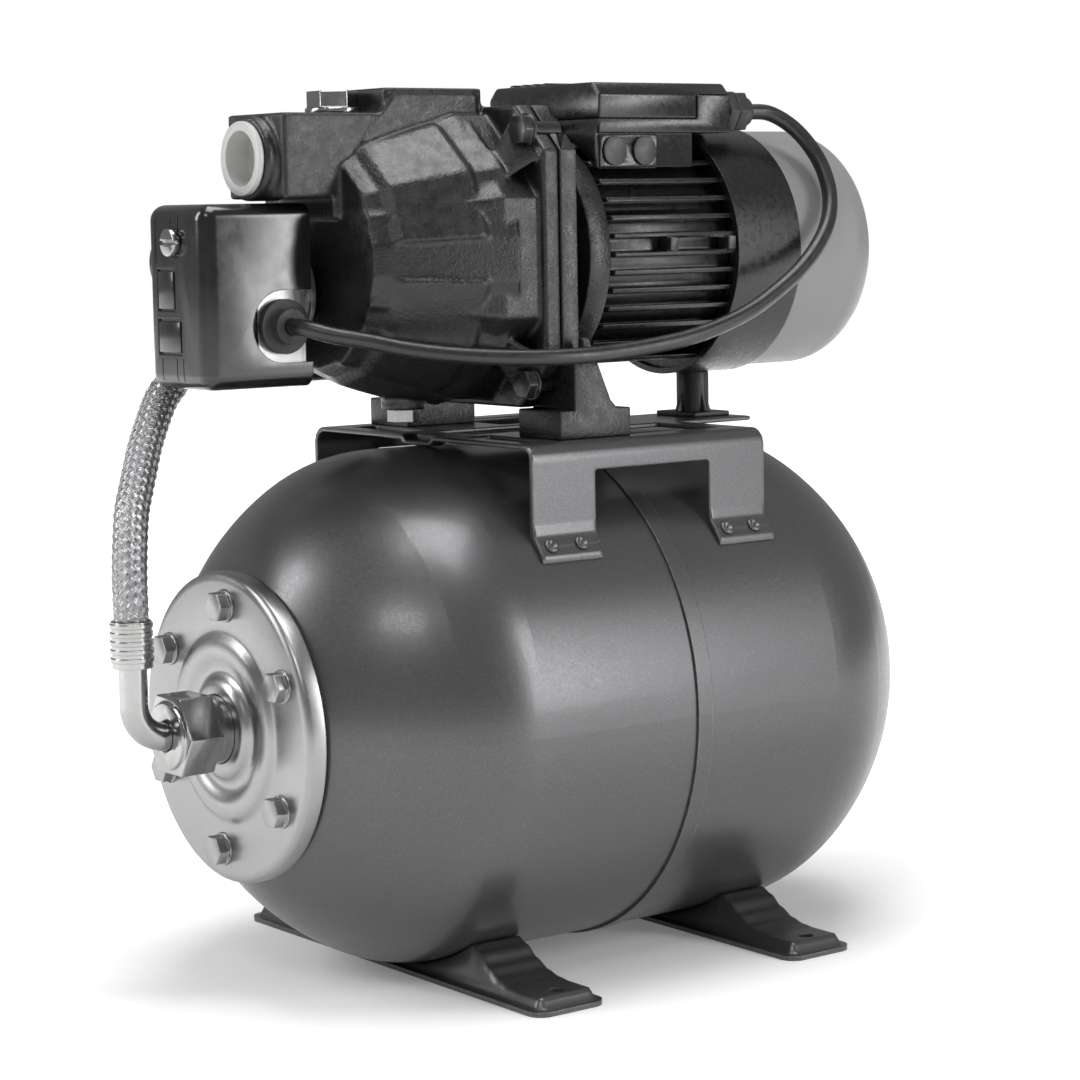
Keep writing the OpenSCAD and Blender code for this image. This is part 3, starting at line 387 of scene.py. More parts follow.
def braid_surface():
    """Steel wires in woven strands: the wires follow whichever strand is on top, with painted shade
    in the grooves between them.
    """
    g = Graph("braid_wire")
    uv = g.add("ShaderNodeUVMap", {"uv_map": "strands"}).outputs[0]
    parts = g.add("ShaderNodeSeparateXYZ", Vector=uv)
    around = g.math("MULTIPLY", parts.outputs[0], float(STRANDS))
    along = g.math("DIVIDE", parts.outputs[1], STRAND_PITCH)
    a = g.math("ADD", around, along)
    b = g.math("SUBTRACT", around, along)
    wave_a = g.math("SINE", g.math("MULTIPLY", a, math.pi))
    wave_b = g.math("SINE", g.math("MULTIPLY", b, math.pi))
    over = g.math("GREATER_THAN", g.math("MULTIPLY", wave_a, wave_b), 0.0)
    wires = 2 * WIRES_PER_STRAND * math.pi
    wire_a = g.math("SINE", g.math("MULTIPLY", a, wires))
    wire_b = g.math("SINE", g.math("MULTIPLY", b, wires))
    chosen = g.add("ShaderNodeMix", {"data_type": "FLOAT"})
    g.put(chosen.inputs[0], over)
    g.put(chosen.inputs[2], wire_b)
    g.put(chosen.inputs[3], wire_a)
    wire = chosen.outputs[0]
    # painted shade in the grooves between the wires and a painted highlight on their crests
    steel = g.mix(g.ramp(wire, -1.0, 0.6), (0.16, 0.16, 0.165, 1.0), (0.42, 0.42, 0.43, 1.0))
    where = g.add("ShaderNodeTexCoord").outputs["Object"]
    steel = g.mix(g.ramp(g.noise(where, 120.0), 0.35, 0.7, 0.0, 0.25), steel, (0.3, 0.3, 0.31, 1.0))
    g.put(g.shader.inputs["Base Color"], steel)
    g.shader.inputs["Metallic"].default_value = 0.9
    g.put(g.shader.inputs["Roughness"], g.ramp(g.noise(where, 700.0), 0.3, 0.7, 0.2, 0.36))
    bump = g.add("ShaderNodeBump", Height=wire)
    bump.inputs["Strength"].default_value = 0.8
    bump.inputs["Distance"].default_value = 0.00010
    g.put(g.shader.inputs["Normal"], bump.outputs[0])
    return g.material


def glass_surface():
    g = Graph("gauge_pane")
    where = g.add("ShaderNodeTexCoord").outputs["Object"]
    g.shader.inputs["Base Color"].default_value = (0.95, 0.97, 0.97, 1.0)
    g.put(g.shader.inputs["Roughness"], g.ramp(g.noise(where, 90.0), 0.3, 0.8, 0.02, 0.09))
    g.shader.inputs["Transmission Weight"].default_value = 1.0
    g.shader.inputs["IOR"].default_value = 1.45
    return g.material


FINISHES = {
    "tank_paint": surface(
        "tank_satin", (0.085, 0.085, 0.088), 0.33, metal=0.65, vary=0.05, vary_scale=9.0,
        grain=2600.0, grain_depth=0.000012, speckle=0.35, wear_and_edge_sheen=0.45,
        wear_and_sheen_colour=(0.32, 0.32, 0.33), edge=0.0007, coat=0.12, spread=0.05,
    ),
    "membrane_rubber": surface("membrane_rubber", (0.02, 0.02, 0.02), 0.6, grain=1400.0),
    "zinc": surface(
        "zinc_plate", (0.30, 0.30, 0.305), 0.33, metal=1.0, vary=0.04, vary_scale=30.0,
        grain=2200.0, grain_depth=0.000003, edge=0.0007, spread=0.04,
    ),
    "nickel": surface(
        "nickel_plate", (0.33, 0.328, 0.325), 0.17, metal=1.0, vary=0.06, vary_scale=60.0,
        grain=1600.0, grain_depth=0.000004, edge=0.0007, spread=0.04,
    ),
    "brass": surface("brass_turned", (0.62, 0.44, 0.17), 0.25, metal=1.0, vary=0.1),
    "cap_black": surface("cap_black", (0.02, 0.02, 0.02), 0.42, grain=1500.0),
    "cast_black": surface(
        "cast_paint", (0.0055, 0.0055, 0.0058), 0.36, vary=0.3, vary_scale=22.0, grain=620.0,
        grain_depth=0.00030, wear_and_edge_sheen=0.5, wear_and_sheen_colour=(0.05, 0.05, 0.052), edge=0.0010,
        spread=0.10, specular=0.5,
    ),
    "cap_white": surface(
        "cap_pale", (0.40, 0.40, 0.39), 0.4, vary=0.06, grain=1200.0, edge=0.0005,
    ),
    "venturi_plastic": surface("venturi_plastic", (0.03, 0.03, 0.03), 0.4),
    "seal_black": surface("seal_black", (0.02, 0.02, 0.02), 0.55, grain=1600.0),
    "ceramic": surface("ceramic", (0.8, 0.8, 0.77), 0.2, vary=0.03),
    "bright_steel": surface(
        "bright_steel", (0.58, 0.58, 0.59), 0.24, metal=1.0, stretch=(1.0, 12.0, 1.0),
    ),
    "core_steel": surface("core_steel", (0.3, 0.3, 0.31), 0.4, metal=1.0, stretch=(1.0, 20.0, 1.0)),
    "copper": surface("copper_wire", (0.5, 0.2, 0.07), 0.3, metal=0.8, grain=600.0),
    "motor_black": surface(
        "motor_paint", (0.006, 0.006, 0.0062), 0.34, vary=0.22, vary_scale=20.0, grain=1100.0,
        grain_depth=0.00010, wear_and_edge_sheen=0.5, wear_and_sheen_colour=(0.075, 0.075, 0.078), edge=0.0008,
        spread=0.09, specular=0.6,
    ),
    "ring_black": surface(
        "ring_paint", (0.005, 0.005, 0.0052), 0.30, vary=0.15, grain=1300.0,
        grain_depth=0.00004, wear_and_edge_sheen=0.4, wear_and_sheen_colour=(0.06, 0.06, 0.062), edge=0.0008,
    ),
    "fan_plastic": surface("fan_plastic", (0.02, 0.02, 0.02), 0.45),
    "cover_grey": surface(
        "cover_satin", (0.17, 0.17, 0.174), 0.38, vary=0.05, vary_scale=12.0, grain=1700.0,
        grain_depth=0.00003, wear_and_edge_sheen=0.3, wear_and_sheen_colour=(0.34, 0.34, 0.35), edge=0.0008, spread=0.06,
    ),
    "box_plastic": surface(
        "box_moulded", (0.006, 0.006, 0.0062), 0.24, vary=0.12, vary_scale=18.0, grain=1500.0,
        grain_depth=0.00005, wear_and_edge_sheen=0.35, wear_and_sheen_colour=(0.06, 0.06, 0.062), edge=0.0009,
        spread=0.07,
    ),
    "terminal_plastic": surface("terminal_plastic", (0.6, 0.55, 0.4), 0.45),
    "capacitor_white": surface("capacitor_white", (0.7, 0.7, 0.68), 0.4),
    "cable_sheath": surface(
        "cable_rubber", (0.009, 0.009, 0.0092), 0.36, vary=0.2, vary_scale=60.0, grain=1200.0,
        grain_depth=0.00005, edge=0.0004,
    ),
    "switch_gloss": surface(
        "switch_moulded", (0.005, 0.005, 0.0052), 0.20, vary=0.15, vary_scale=30.0,
        grain=500.0, grain_depth=0.00002, wear_and_edge_sheen=0.3, wear_and_sheen_colour=(0.05, 0.05, 0.05),
        edge=0.0010, coat=0.25, spread=0.05,
    ),
    "gauge_black": surface(
        "gauge_paint", (0.015, 0.015, 0.015), 0.3, wear_and_edge_sheen=0.4, wear_and_sheen_colour=(0.08, 0.08, 0.08),
    ),
    "pointer_red": surface("pointer_red", (0.55, 0.03, 0.02), 0.4),
    "braid": braid_surface(),
    "gauge_glass": glass_surface(),
}


# Nodes that look unlike their slot: bolts painted with the pump, and a plated nut
PAINTED_OVER = {"casing_bolts": "motor_black", "cover_nut": "nickel"}


def paint_all():
    """Gives every piece, carried over or new, the finish of its slot."""
    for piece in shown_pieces():
        node = piece.get("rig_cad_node", "") or piece.name.removesuffix("_piece")
        slot_name = PAINTED_OVER.get(node) or piece.get("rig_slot") or SLOTS.get(node)
        piece.data.materials.clear()
        piece.data.materials.append(FINISHES[slot_name])


# ---------------------------------------------------------------- rounded copies of CAD nodes

def mesh_from(bm, name):
    mesh = bpy.data.meshes.new(name)
    bm.to_mesh(mesh)
    bm.free()
    return mesh


def node_bmesh(node):
    """The node's shape with its seams closed."""
    bm = bmesh.new()
    bm.from_mesh(nodes[node].data)
    bmesh.ops.remove_doubles(bm, verts=bm.verts, dist=2e-6)
    return bm


def apply_modifiers(piece):
    """Puts the result of the piece's modifiers into its mesh."""
    graph = bpy.context.evaluated_depsgraph_get()
    made = bpy.data.meshes.new_from_object(piece.evaluated_get(graph))
    piece.modifiers.clear()
    piece.data = made
    return piece


def shade_by_angle(mesh, degrees):
    mesh.shade_smooth()
    mesh.set_sharp_from_angle(angle=math.radians(degrees))


def rounded_copy(node, body, width, segments=2, angle=32.0):
    """The node's own shape with its edges rounded, as a piece that stands for it."""
    bm = node_bmesh(node)
    bmesh.ops.dissolve_limit(
        bm, angle_limit=math.radians(0.6), verts=bm.verts, edges=bm.edges
    )
    mesh = mesh_from(bm, node + "_piece")
    mesh.shade_smooth()
    piece = new_object(node + "_piece", mesh, body, SLOTS[node], replaced=[node])
    bevel = piece.modifiers.new("rounding", "BEVEL")
    bevel.width = width
    bevel.segments = segments
    bevel.limit_method = "ANGLE"
    bevel.angle_limit = math.radians(angle)
    bevel.use_clamp_overlap = False
    bevel.miter_outer = "MITER_ARC"
    bevel.harden_normals = True
    return piece


def cast_piece(name, bm, body, slot_name, replaced, voxel, passes):
    """Joins closed shapes into one skin and softens every edge, as a casting or pressing has."""
    piece = new_object(name, mesh_from(bm, name), body, slot_name, replaced=replaced)
    join = piece.modifiers.new("skin", "REMESH")
    join.mode = "VOXEL"
    join.voxel_size = voxel
    join.use_smooth_shade = True
    soften = piece.modifiers.new("soften", "SMOOTH")
    soften.factor = 0.5
    soften.iterations = passes
    apply_modifiers(piece)
    piece.data.shade_smooth()
    return piece


def add_box_shape(bm, low, high, turn=None, about=(0, 0, 0)):
    """A box between two corners, turned by a matrix about a point if one is given."""
    made = bmesh.ops.create_cube(bm, size=1.0)["verts"]
    low, high = Vector(low), Vector(high)
    for v in made:
        v.co = Vector(
            low[i] + (v.co[i] + 0.5) * (high[i] - low[i]) for i in range(3)
        )
        if turn is not None:
            v.co = turn @ (v.co - Vector(about)) + Vector(about)
    return made


def add_prism(bm, outline, along):
    """A prism from an outline of points, extruded by a vector."""
    bottom = [bm.verts.new(p) for p in outline]
    top = [bm.verts.new(Vector(p) + Vector(along)) for p in outline]
    count = len(outline)
    bm.faces.new(bottom)
    bm.faces.new(list(reversed(top)))
    for i in range(count):
        j = (i + 1) % count
        bm.faces.new((bottom[i], top[i], top[j], bottom[j]))


def add_loft(bm, sections):
    """A closed skin through rings of points that all have the same count."""
    rings = [[bm.verts.new(p) for p in section] for section in sections]
    count = len(rings[0])
    for one, two in zip(rings, rings[1:]):
        for i in range(count):
            j = (i + 1) % count
            bm.faces.new((one[i], one[j], two[j], two[i]))
    bm.faces.new(list(reversed(rings[0])))
    bm.faces.new(rings[-1])


# ---------------------------------------------------------------- pump casing

AXIS_Z = 0.352
CASING_Y0, CASING_Y1 = -0.130, -0.060
CASING_R0, CASING_R1 = 0.0525, 0.0735
CORNERS = (8.0, 36.0, 64.0, 90.0)      # corner angles of the cast body in a quarter turn
CASING_SECTIONS = 15
WIDE_FACE = 20               # degrees: a narrower face carries no panel
PANEL_START, PANEL_STEP, PANEL_STATIONS = -0.121, 0.0035, 14
PANEL_PROUD, PANEL_SUNK = 0.0024, 0.006
PANEL_RISE = 0.004           # run over which a panel's end rises to its full height
PANEL_LEAN = 0.6             # degrees that a panel's sides lean in


def corner_radius(y):
    """Radius of the cast body's corners at a place along the axis."""
    t = (y - CASING_Y0) / (CASING_Y1 - CASING_Y0)
    return CASING_R0 + (CASING_R1 - CASING_R0) * min(1.0, max(0.0, t)) ** 0.8


def casing_point(angle, y, radius):
    """A point at an angle and radius about the shaft's axis."""
    a = math.radians(angle)
    return (radius * math.cos(a), y, AXIS_Z + radius * math.sin(a))


def all_corners():
    """Corner angles of the whole turn, mirrored from the first quarter."""
    quarter = list(CORNERS)
    half = quarter + [180 - a for a in reversed(quarter[:-1])]
    return half + [360 - a for a in reversed(half)]


def add_casing_panels(bm):
    """Raised panels on the faces of the cast body, with a bare strip between them."""
    corners = all_corners()
    stations = [PANEL_START + PANEL_STEP * k for k in range(PANEL_STATIONS)]
    for a, b in zip(corners, corners[1:]):
        if b - a < WIDE_FACE:
            continue
        outline = []
        for y in stations:
            near = min(y - stations[0], stations[-1] - y)
            proud = PANEL_PROUD * min(1.0, 0.25 + near / PANEL_RISE)
            r = corner_radius(y)
            outline.append([
                casing_point(a, y, r - PANEL_SUNK),
                casing_point(a + PANEL_LEAN, y, r + proud),
                casing_point(b - PANEL_LEAN, y, r + proud),
                casing_point(b, y, r - PANEL_SUNK),
            ])
        add_loft(bm, outline)


def add_casing():
    """Cast casing: the CAD shape, its faceted body, panels and ribs under one skin."""
    bm = node_bmesh("pump_casing")
    corners = all_corners()
    sections = []
    for k in range(CASING_SECTIONS):
        y = CASING_Y0 + k * (CASING_Y1 - CASING_Y0) / (CASING_SECTIONS - 1)
        sections.append([casing_point(a, y, corner_radius(y)) for a in corners])
    add_loft(bm, sections)
    add_casing_panels(bm)
    # a rib along each side of the delivery passage, and webs to the flange's corners
    for side in (-1, 1):
        add_prism(bm, [
            (side * 0.020, -0.118, 0.4085), (side * 0.020, -0.050, 0.4085),
            (side * 0.020, -0.050, 0.431), (side * 0.020, -0.098, 0.431),
        ], (side * 0.0055, 0, 0))
        for lift in (-1, 1):
            add_prism(bm, [
                (side * 0.049, -0.060, AXIS_Z + lift * 0.049),
                (side * 0.060, -0.060, AXIS_Z + lift * 0.038),
                (side * 0.071, -0.045, AXIS_Z + lift * 0.049),
                (side * 0.049, -0.045, AXIS_Z + lift * 0.071),
            ], (0, 0.003, 0))
    bmesh.ops.recalc_face_normals(bm, faces=bm.faces)
    return cast_piece(
        "pump_casing_piece", bm, "body", "cast_black", ["pump_casing"], 0.0011, 4
    )


# ---------------------------------------------------------------- pressed feet

FOOT_Y = 0.079
TANK_Z, TANK_R = 0.1315, 0.1275
FOOT_SHEET = 0.0025
# height of the pressing's crest at distances from the middle
FOOT_CREST = [
    (0.0, 0.0030), (0.030, 0.0062), (0.045, 0.0170), (0.056, 0.0235), (0.066, 0.0235),
    (0.074, 0.0200), (0.082, 0.0148), (0.090, 0.0108), (0.098, 0.0088), (0.106, 0.0080),
    (0.124, 0.0080), (0.1262, 0.0060), (0.1275, 0.0030), (0.130, 0.0025),
]
FOOT_HOLE_X, FOOT_HOLE_R = 0.116, 0.004
FOOT_HALF_X, FOOT_HALF_Y, FOOT_CORNER = 0.129, 0.021, 0.008
FOOT_CELLS_X, FOOT_CELLS_Y = 206, 42
PAD_TOP = 0.0080
LIP_WIDE = 0.0032            # flat lip all round the foot
LIP_BEND, LIP_RISE = 0.0028, 0.0055


def along_table(table, x):
    """Eased value between the table's places and heights."""
    for (xa, a), (xb, b) in zip(table, table[1:]):
        if x <= xb:
            t = (x - xa) / (xb - xa)
            return a + (b - a) * t * t * (3 - 2 * t)
    return table[-1][1]


def foot_height(x, y):
    """Top of the pressed sheet at a distance x from the middle and y from its own middle."""
    side = abs(x)
    crest = along_table(FOOT_CREST, side)
    hill = max(0.0, crest - PAD_TOP)
    half = 0.0180 - 0.30 * hill
    wall = 0.0022 + 0.55 * hill
    t = min(1.0, max(0.0, (abs(y) - half) / wall))
    fall = 1 - t * t * (3 - 2 * t)
    height = FOOT_SHEET + (crest - FOOT_SHEET) * fall
    tank = TANK_Z - math.sqrt(TANK_R ** 2 - min(side, 0.12) ** 2) - 0.0004
    return max(0.0012, min(height, tank)) if side < 0.10 else height


def add_foot(name, node, y0):
    """Pressed foot: a grid that follows the hill, walls and lip, given its sheet thickness."""
    bm = bmesh.new()
    half_x, half_y, corner = FOOT_HALF_X, FOOT_HALF_Y, FOOT_CORNER
    xs = [-half_x + i * 2 * half_x / FOOT_CELLS_X for i in range(FOOT_CELLS_X + 1)]
    ys = [-half_y + i * 2 * half_y / FOOT_CELLS_Y for i in range(FOOT_CELLS_Y + 1)]

    def corner_fit(x, y):
        """Moves a point of the square corner onto the round one."""
        dx, dy = abs(x) - (half_x - corner), abs(y) - (half_y - corner)
        if dx > 0 and dy > 0:
            far = math.hypot(dx, dy)
            reach = max(dx, dy)
            k = reach / far
            dx, dy = dx * k, dy * k
            x = math.copysign(half_x - corner + dx, x)
            y = math.copysign(half_y - corner + dy, y)
        return x, y

    grid = {}
    for i, x in enumerate(xs):
        for j, y in enumerate(ys):
            px, py = corner_fit(x, y)
            edge = min(half_x - abs(px), half_y - abs(py))
            dx, dy = abs(px) - (half_x - corner), abs(py) - (half_y - corner)
            if dx > 0 and dy > 0:
                edge = corner - math.hypot(dx, dy)
            z = foot_height(px, py)
            if edge < LIP_WIDE:
                z = min(z, FOOT_SHEET)
            elif edge < LIP_WIDE + LIP_BEND:
                z = min(z, FOOT_SHEET + (edge - LIP_WIDE) / LIP_BEND * LIP_RISE)
            grid[i, j] = bm.verts.new((px, y0 + py, z))
    for i in range(len(xs) - 1):
        for j in range(len(ys) - 1):
            x, y = (xs[i] + xs[i + 1]) / 2, (ys[j] + ys[j + 1]) / 2
            if math.hypot(abs(x) - FOOT_HOLE_X, y) < FOOT_HOLE_R:
                continue
            bm.faces.new((grid[i, j], grid[i + 1, j], grid[i + 1, j + 1], grid[i, j + 1]))
    loose = [v for v in bm.verts if not v.link_faces]
    bmesh.ops.delete(bm, geom=loose, context="VERTS")
    for v in bm.verts:
        if v.is_boundary:
            away = Vector((abs(v.co.x) - FOOT_HOLE_X, v.co.y - y0))
            if away.length < 2 * FOOT_HOLE_R:
                away = away.normalized() * FOOT_HOLE_R
                v.co.x = math.copysign(FOOT_HOLE_X + away.x, v.co.x)
                v.co.y = y0 + away.y
    bmesh.ops.smooth_vert(
        bm, verts=[v for v in bm.verts if not v.is_boundary], factor=0.5,
        use_axis_x=False, use_axis_y=False, use_axis_z=True,
    )
    piece = new_object(name, mesh_from(bm, name), "body", "tank_paint", replaced=[node])
    sheet = piece.modifiers.new("sheet", "SOLIDIFY")
    sheet.thickness = FOOT_SHEET - 0.0001
    sheet.offset = -1.0
    apply_modifiers(piece)
    for v in piece.data.vertices:
        v.co.z = max(0.0, v.co.z)
    shade_by_angle(piece.data, 50)
    return piece


# ---------------------------------------------------------------- bracket on the tank

WELD_Y = (-0.0645, -0.0465, 0.0445, 0.0620)
WELD_AT = (0.0978, 0.2160)
WELD_SIDES = 24
# radius and height of a weld spot, from its middle outwards
WELD_PROFILE = [
    (0.0, -0.0004), (0.0012, -0.0003), (0.0020, 0.0006), (0.0027, 0.0009),
    (0.0034, 0.0004), (0.0040, -0.0004),
]


def add_bracket():
    """Sheet bracket with soft bends into its weld flanges, and the eight weld spots."""
    bm = node_bmesh("pump_bracket")
    # soft bend from each leg into its weld flange
    for side in (-1, 1):
        for y0, y1 in ((-0.0718, -0.0342), (0.0372, 0.0728)):
            add_prism(bm, [
                (side * 0.0930, y0, 0.2250), (side * 0.0945, y0, 0.2265),
                (side * 0.0952, y0, 0.2215), (side * 0.0968, y0, 0.2190),
                (side * 0.0990, y0, 0.2165), (side * 0.0950, y0, 0.2165),
            ], (0, y1 - y0, 0))
    bmesh.ops.recalc_face_normals(bm, faces=bm.faces)
    cast_piece(
        "pump_bracket_piece", bm, "body", "tank_paint", ["pump_bracket"], 0.0008, 2
    )
    spots = bmesh.new()
    for side in (-1, 1):
        normal = Vector((side * WELD_AT[0], 0, WELD_AT[1] - TANK_Z)).normalized()
        turn = normal.to_track_quat("Z", "Y").to_matrix()
        for y in WELD_Y:
            centre = Vector((side * WELD_AT[0], y, WELD_AT[1])) + normal * 0.0016
            last = None
            for r, h in WELD_PROFILE:
                ring = [
                    spots.verts.new(centre + turn @ Vector((
                        max(r, 1e-5) * math.cos(2 * math.pi * k / WELD_SIDES),
                        max(r, 1e-5) * math.sin(2 * math.pi * k / WELD_SIDES), h,
                    ))) for k in range(WELD_SIDES)
                ]
                if last:
                    for k in range(WELD_SIDES):
                        n = (k + 1) % WELD_SIDES
                        spots.faces.new((last[k], ring[k], ring[n], last[n]))
                last = ring
            spots.faces.new(list(last))
    bmesh.ops.remove_doubles(spots, verts=spots.verts, dist=2e-5)
    bmesh.ops.recalc_face_normals(spots, faces=spots.faces)
    mesh = mesh_from(spots, "weld_spots")
    mesh.shade_smooth()
    new_object("weld_spots", mesh, "body", "tank_paint")


# ---------------------------------------------------------------- switch cover

SWITCH_LOW = Vector((-0.0390, -0.2000, 0.2930))
SWITCH_HIGH = Vector((0.0150, -0.1415, 0.3800))
SWITCH_WALL = 0.0018
NOTCH_Y, NOTCH_Z, NOTCH_R = -0.157, 0.322, 0.0172
NOTCH_BACK = -0.139          # behind the cover, so that a notch is open there
GROOVE_HALF, GROOVE_DEEP = 0.0004, 0.0008


def cut(piece, tools):
    """Takes the closed shapes in tools away from the piece."""
    mesh = mesh_from(tools, piece.name + "_tool")
    tool = bpy.data.objects.new(piece.name + "_tool", mesh)
    bpy.context.scene.collection.objects.link(tool)
    away = piece.modifiers.new("cut", "BOOLEAN")
    away.operation = "DIFFERENCE"
    away.solver = "EXACT"
    away.use_self = True
    away.object = tool
    apply_modifiers(piece)
    bpy.data.objects.remove(tool)


def add_switch_cover():
    """Moulded cover: a rounded shell with two notches, grooves and two framed panels."""
    bm = bmesh.new()
    low, high = SWITCH_LOW, SWITCH_HIGH
    add_box_shape(bm, low, high)
    tall = [e for e in bm.edges
            if all(v.co.y < low.y + 1e-6 for v in e.verts)
            or abs((e.verts[0].co - e.verts[1].co).y) > 0.01]
    bmesh.ops.bevel(
        bm, geom=tall, offset=0.0075, segments=7, profile=0.5, affect="EDGES",
        clamp_overlap=True,
    )
    back = [f for f in bm.faces if all(v.co.y > high.y - 1e-6 for v in f.verts)]
    bmesh.ops.delete(bm, geom=back, context="FACES")
    mesh = mesh_from(bm, "switch_cover_piece")
    piece = new_object(
        "switch_cover_piece", mesh, "body", "switch_gloss", replaced=["switch_cover"]
    )
    wall = piece.modifiers.new("wall", "SOLIDIFY")
    wall.thickness = SWITCH_WALL
    wall.offset = -1.0
    wall.use_even_offset = True
    apply_modifiers(piece)
    tools = bmesh.new()
    # open notch round each cable entry
    for x0, x1 in ((low.x - 0.002, low.x + 0.004), (high.x - 0.004, high.x + 0.002)):
        outline = [
            (x0, NOTCH_Y + NOTCH_R * math.cos(a), NOTCH_Z + NOTCH_R * math.sin(a))
            for a in (math.radians(90 + 180 * k / 24) for k in range(25))
        ]
        outline += [(x0, NOTCH_BACK, NOTCH_Z - NOTCH_R), (x0, NOTCH_BACK, NOTCH_Z + NOTCH_R)]
        add_prism(tools, outline, (x1 - x0, 0, 0))
    # fine grooves over the front: beside the nut, and below the lower panel
    front = low.y
    wide, deep = GROOVE_HALF, GROOVE_DEEP
    for x, z0, z1 in (
        (-0.0290, 0.3525, 0.3790), (-0.0150, 0.3560, 0.3790), (-0.0080, 0.3560, 0.3790),
        (-0.0255, 0.2932, 0.3080), (-0.0120, 0.2932, 0.3080), (-0.0060, 0.2932, 0.3080),
    ):
        add_box_shape(tools, (x - wide, front - 0.002, z0), (x + wide, front + deep, z1))
    # the groove across, under the nut
    add_box_shape(
        tools, (-0.0154, front - 0.002, 0.3560 - wide), (-0.0076, front + deep, 0.3560 + wide)
    )
    # sunk frames round the two panels
    for x0, x1, z0, z1 in ((-0.0285, -0.0120, 0.3300, 0.3500), (-0.0290, -0.0070, 0.3095, 0.3265)):
        add_box_shape(tools, (x0, front - 0.002, z0), (x1, front + 0.0010, z1))
    bmesh.ops.recalc_face_normals(tools, faces=tools.faces)
    cut(piece, tools)
    shade_by_angle(piece.data, 35)
    # the panels themselves, standing in their frames
    plates = bmesh.new()
    for x0, x1, z0, z1 in ((-0.0273, -0.0132, 0.3312, 0.3488), (-0.0278, -0.0082, 0.3107, 0.3253)):
        add_box_shape(plates, (x0, front - 0.0004, z0), (x1, front + 0.0012, z1))
    bmesh.ops.bevel(
        plates, geom=plates.edges[:], offset=0.00035, segments=2, profile=0.5, affect="EDGES",
    )
    mesh = mesh_from(plates, "switch_panels")
    shade_by_angle(mesh, 50)
    new_object("switch_panels", mesh, "body", "switch_gloss")


# ---------------------------------------------------------------- pressed tank flange

PLATE_Y = -0.1873
# radius and distance in front of the plate, from the nipple out to the rolled rim
FLANGE_PROFILE = [
    (0.0168, 0.0000), (0.0168, 0.0045), (0.0205, 0.0045), (0.0228, 0.0038), (0.0242, 0.0022),
    (0.0256, 0.0006), (0.0275, 0.0002), (0.0300, 0.0004), (0.0325, 0.0014), (0.0345, 0.0024),
    (0.0370, 0.0028), (0.0410, 0.0027), (0.0436, 0.0018), (0.0452, 0.0004), (0.0470, 0.0001),
    (0.0500, 0.0003), (0.0560, 0.0004), (0.0700, 0.0004), (0.0728, 0.0001), (0.0744, -0.0010),
    (0.0750, -0.0028), (0.0750, -0.0092), (0.0734, -0.0095), (0.0730, -0.0040), (0.0722, -0.0026),
    (0.0700, -0.0020), (0.0400, -0.0020), (0.0222, -0.0020), (0.0222, 0.0000),
]
FLANGE_SIDES = 144


def add_flange():
    """Pressed service flange: its profile turned about the tank's axis."""
    bm = bmesh.new()
    rings = []
    for radius, out in FLANGE_PROFILE:
        rings.append([
            bm.verts.new((
                radius * math.cos(2 * math.pi * k / FLANGE_SIDES),
                PLATE_Y - out,
                TANK_Z + radius * math.sin(2 * math.pi * k / FLANGE_SIDES),
            )) for k in range(FLANGE_SIDES)
        ])
    for one, two in zip(rings, rings[1:] + rings[:1]):
        for k in range(FLANGE_SIDES):
            n = (k + 1) % FLANGE_SIDES
            bm.faces.new((one[k], one[n], two[n], two[k]))
    bmesh.ops.recalc_face_normals(bm, faces=bm.faces)
    piece = new_object(
        "tank_flange_piece", mesh_from(bm, "tank_flange_piece"), "body", "zinc",
        replaced=["tank_flange"],
    )
    shade_by_angle(piece.data, 42)


# CAD nodes whose shape is right, and the radius that rounds their edges
ROUNDED = {
    "flange_bolts": 0.0005,
    "union_nut": 0.0008,
    "cover_nut": 0.0004,
    "priming_plug": 0.0006,
    "casing_bolts": 0.0005,
    "foot_bolts": 0.0005,
    "suction_cap": 0.0006,
    "motor_support": 0.0006,
    "knockout_plugs": 0.0005,
    "cable_gland": 0.0004,
    "lantern": 0.0007,
    "box_lid": 0.0012,
    "box_base": 0.0006,
    "motor_frame": 0.0006,
}
for node, width in ROUNDED.items():
    rounded_copy(node, "body", width)
add_casing()
add_foot("foot_front_piece", "foot_front", -FOOT_Y)
add_foot("foot_rear_piece", "foot_rear", FOOT_Y)
add_bracket()
add_switch_cover()
add_flange()


# ---------------------------------------------------------------- floor and light

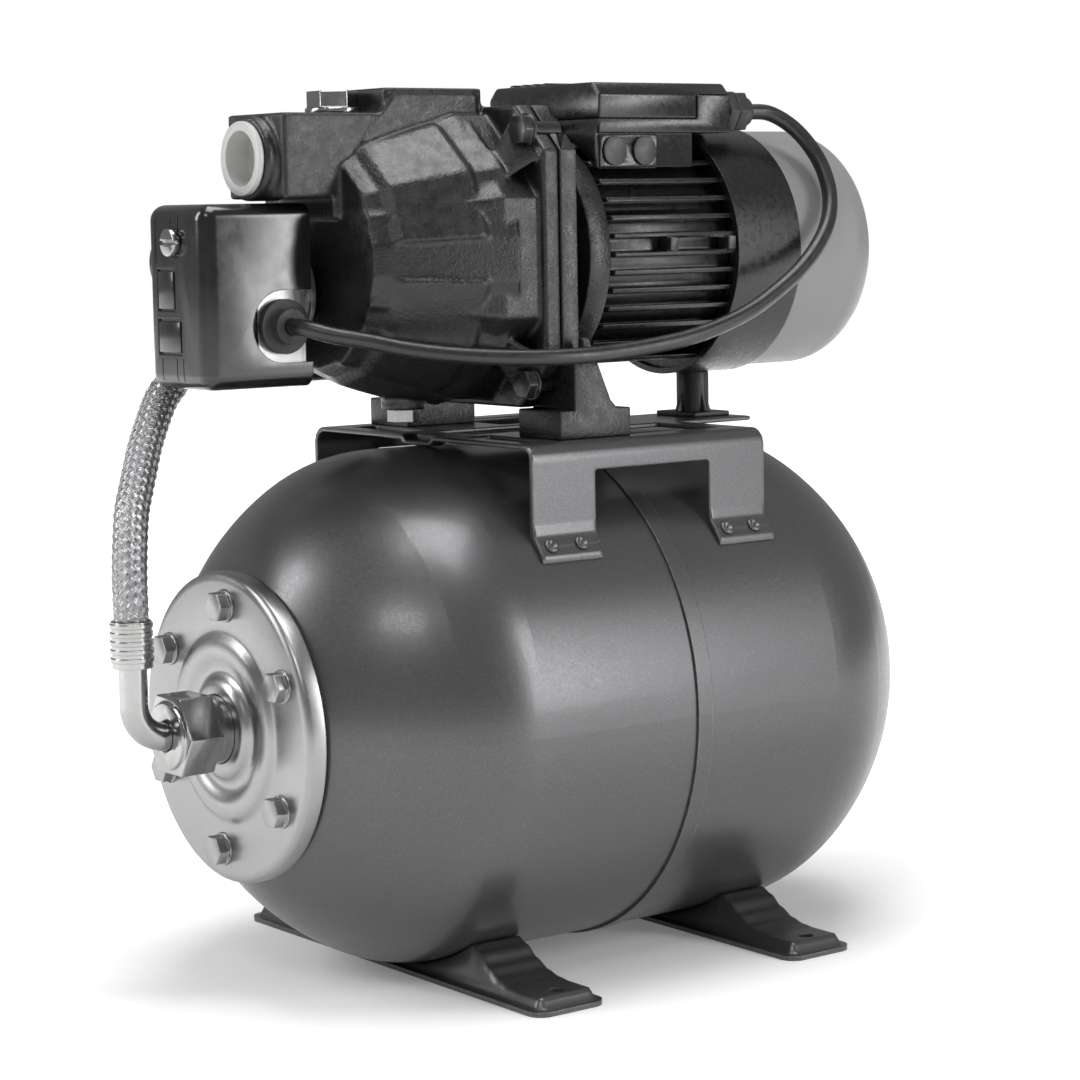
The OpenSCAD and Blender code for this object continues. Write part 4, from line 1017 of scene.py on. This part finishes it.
def add_floor():
    """Pale floor with painted light: it glows weakly near the object and brighter away from it, up
    to white.
    """
    bm = bmesh.new()
    half = 6.0
    corners = [(-half, -half), (half, -half), (half, half), (-half, half)]
    bm.faces.new([bm.verts.new((x, y, 0.0)) for x, y in corners])
    floor = bpy.data.objects.new("floor", mesh_from(bm, "floor"))
    bpy.context.scene.collection.objects.link(floor)
    g = Graph("floor_pale")
    where = g.add("ShaderNodeTexCoord").outputs["Object"]
    g.put(
        g.shader.inputs["Base Color"],
        g.mix(g.noise(where, 3.0), (0.90, 0.90, 0.90, 1.0), (0.93, 0.93, 0.93, 1.0)),
    )
    g.shader.inputs["Roughness"].default_value = 0.55
    g.shader.inputs["Specular IOR Level"].default_value = 0.25
    # painted light: the floor's emission grows with distance from the object
    far = g.add("ShaderNodeVectorMath", {"operation": "LENGTH"})
    g.put(far.inputs[0], where)
    g.shader.inputs["Emission Color"].default_value = (1.0, 1.0, 1.0, 1.0)
    g.put(g.shader.inputs["Emission Strength"], g.ramp(far.outputs["Value"], 0.25, 1.1, 0.12, 1.0))
    floor.data.materials.append(g.material)
    floor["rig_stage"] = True


def add_light(name, at, aim, size, power, tall):
    """Soft rectangular light at a place, aimed at a point."""
    data = bpy.data.lights.new(name, "AREA")
    data.shape = "RECTANGLE"
    data.size = size
    data.size_y = tall
    data.energy = power
    light = bpy.data.objects.new(name, data)
    bpy.context.scene.collection.objects.link(light)
    light.location = at
    light.rotation_euler = (Vector(aim) - Vector(at)).to_track_quat("-Z", "Y").to_euler()


def add_world(strength):
    """White world: full strength to the camera, weaker as light."""
    world = bpy.data.worlds.new("studio")
    bpy.context.scene.world = world
    world.use_nodes = True
    tree = world.node_tree
    background = tree.nodes["Background"]
    background.inputs["Color"].default_value = (1.0, 1.0, 1.0, 1.0)
    rays = tree.nodes.new("ShaderNodeLightPath")
    amount = tree.nodes.new("ShaderNodeMapRange")
    tree.links.new(rays.outputs["Is Camera Ray"], amount.inputs["Value"])
    amount.inputs["To Min"].default_value = strength
    amount.inputs["To Max"].default_value = 1.0
    tree.links.new(amount.outputs[0], background.inputs["Strength"])


add_floor()
add_world(0.30)
add_light("key_left", (-0.9, -1.5, 1.1), (0.0, 0.0, 0.2), 0.5, 20.0, 1.2)
add_light("side_right", (1.9, 1.1, 0.8), (0.0, 0.0, 0.25), 0.4, 22.0, 1.4)
add_light("front", (1.2, -1.6, 1.8), (0.0, 0.0, 0.2), 0.8, 9.0, 0.4)
add_light("top", (0.1, 0.1, 2.0), (0.0, 0.0, 0.2), 1.5, 32.0, 1.0)
bpy.context.scene.view_settings.view_transform = "Standard"

paint_all()
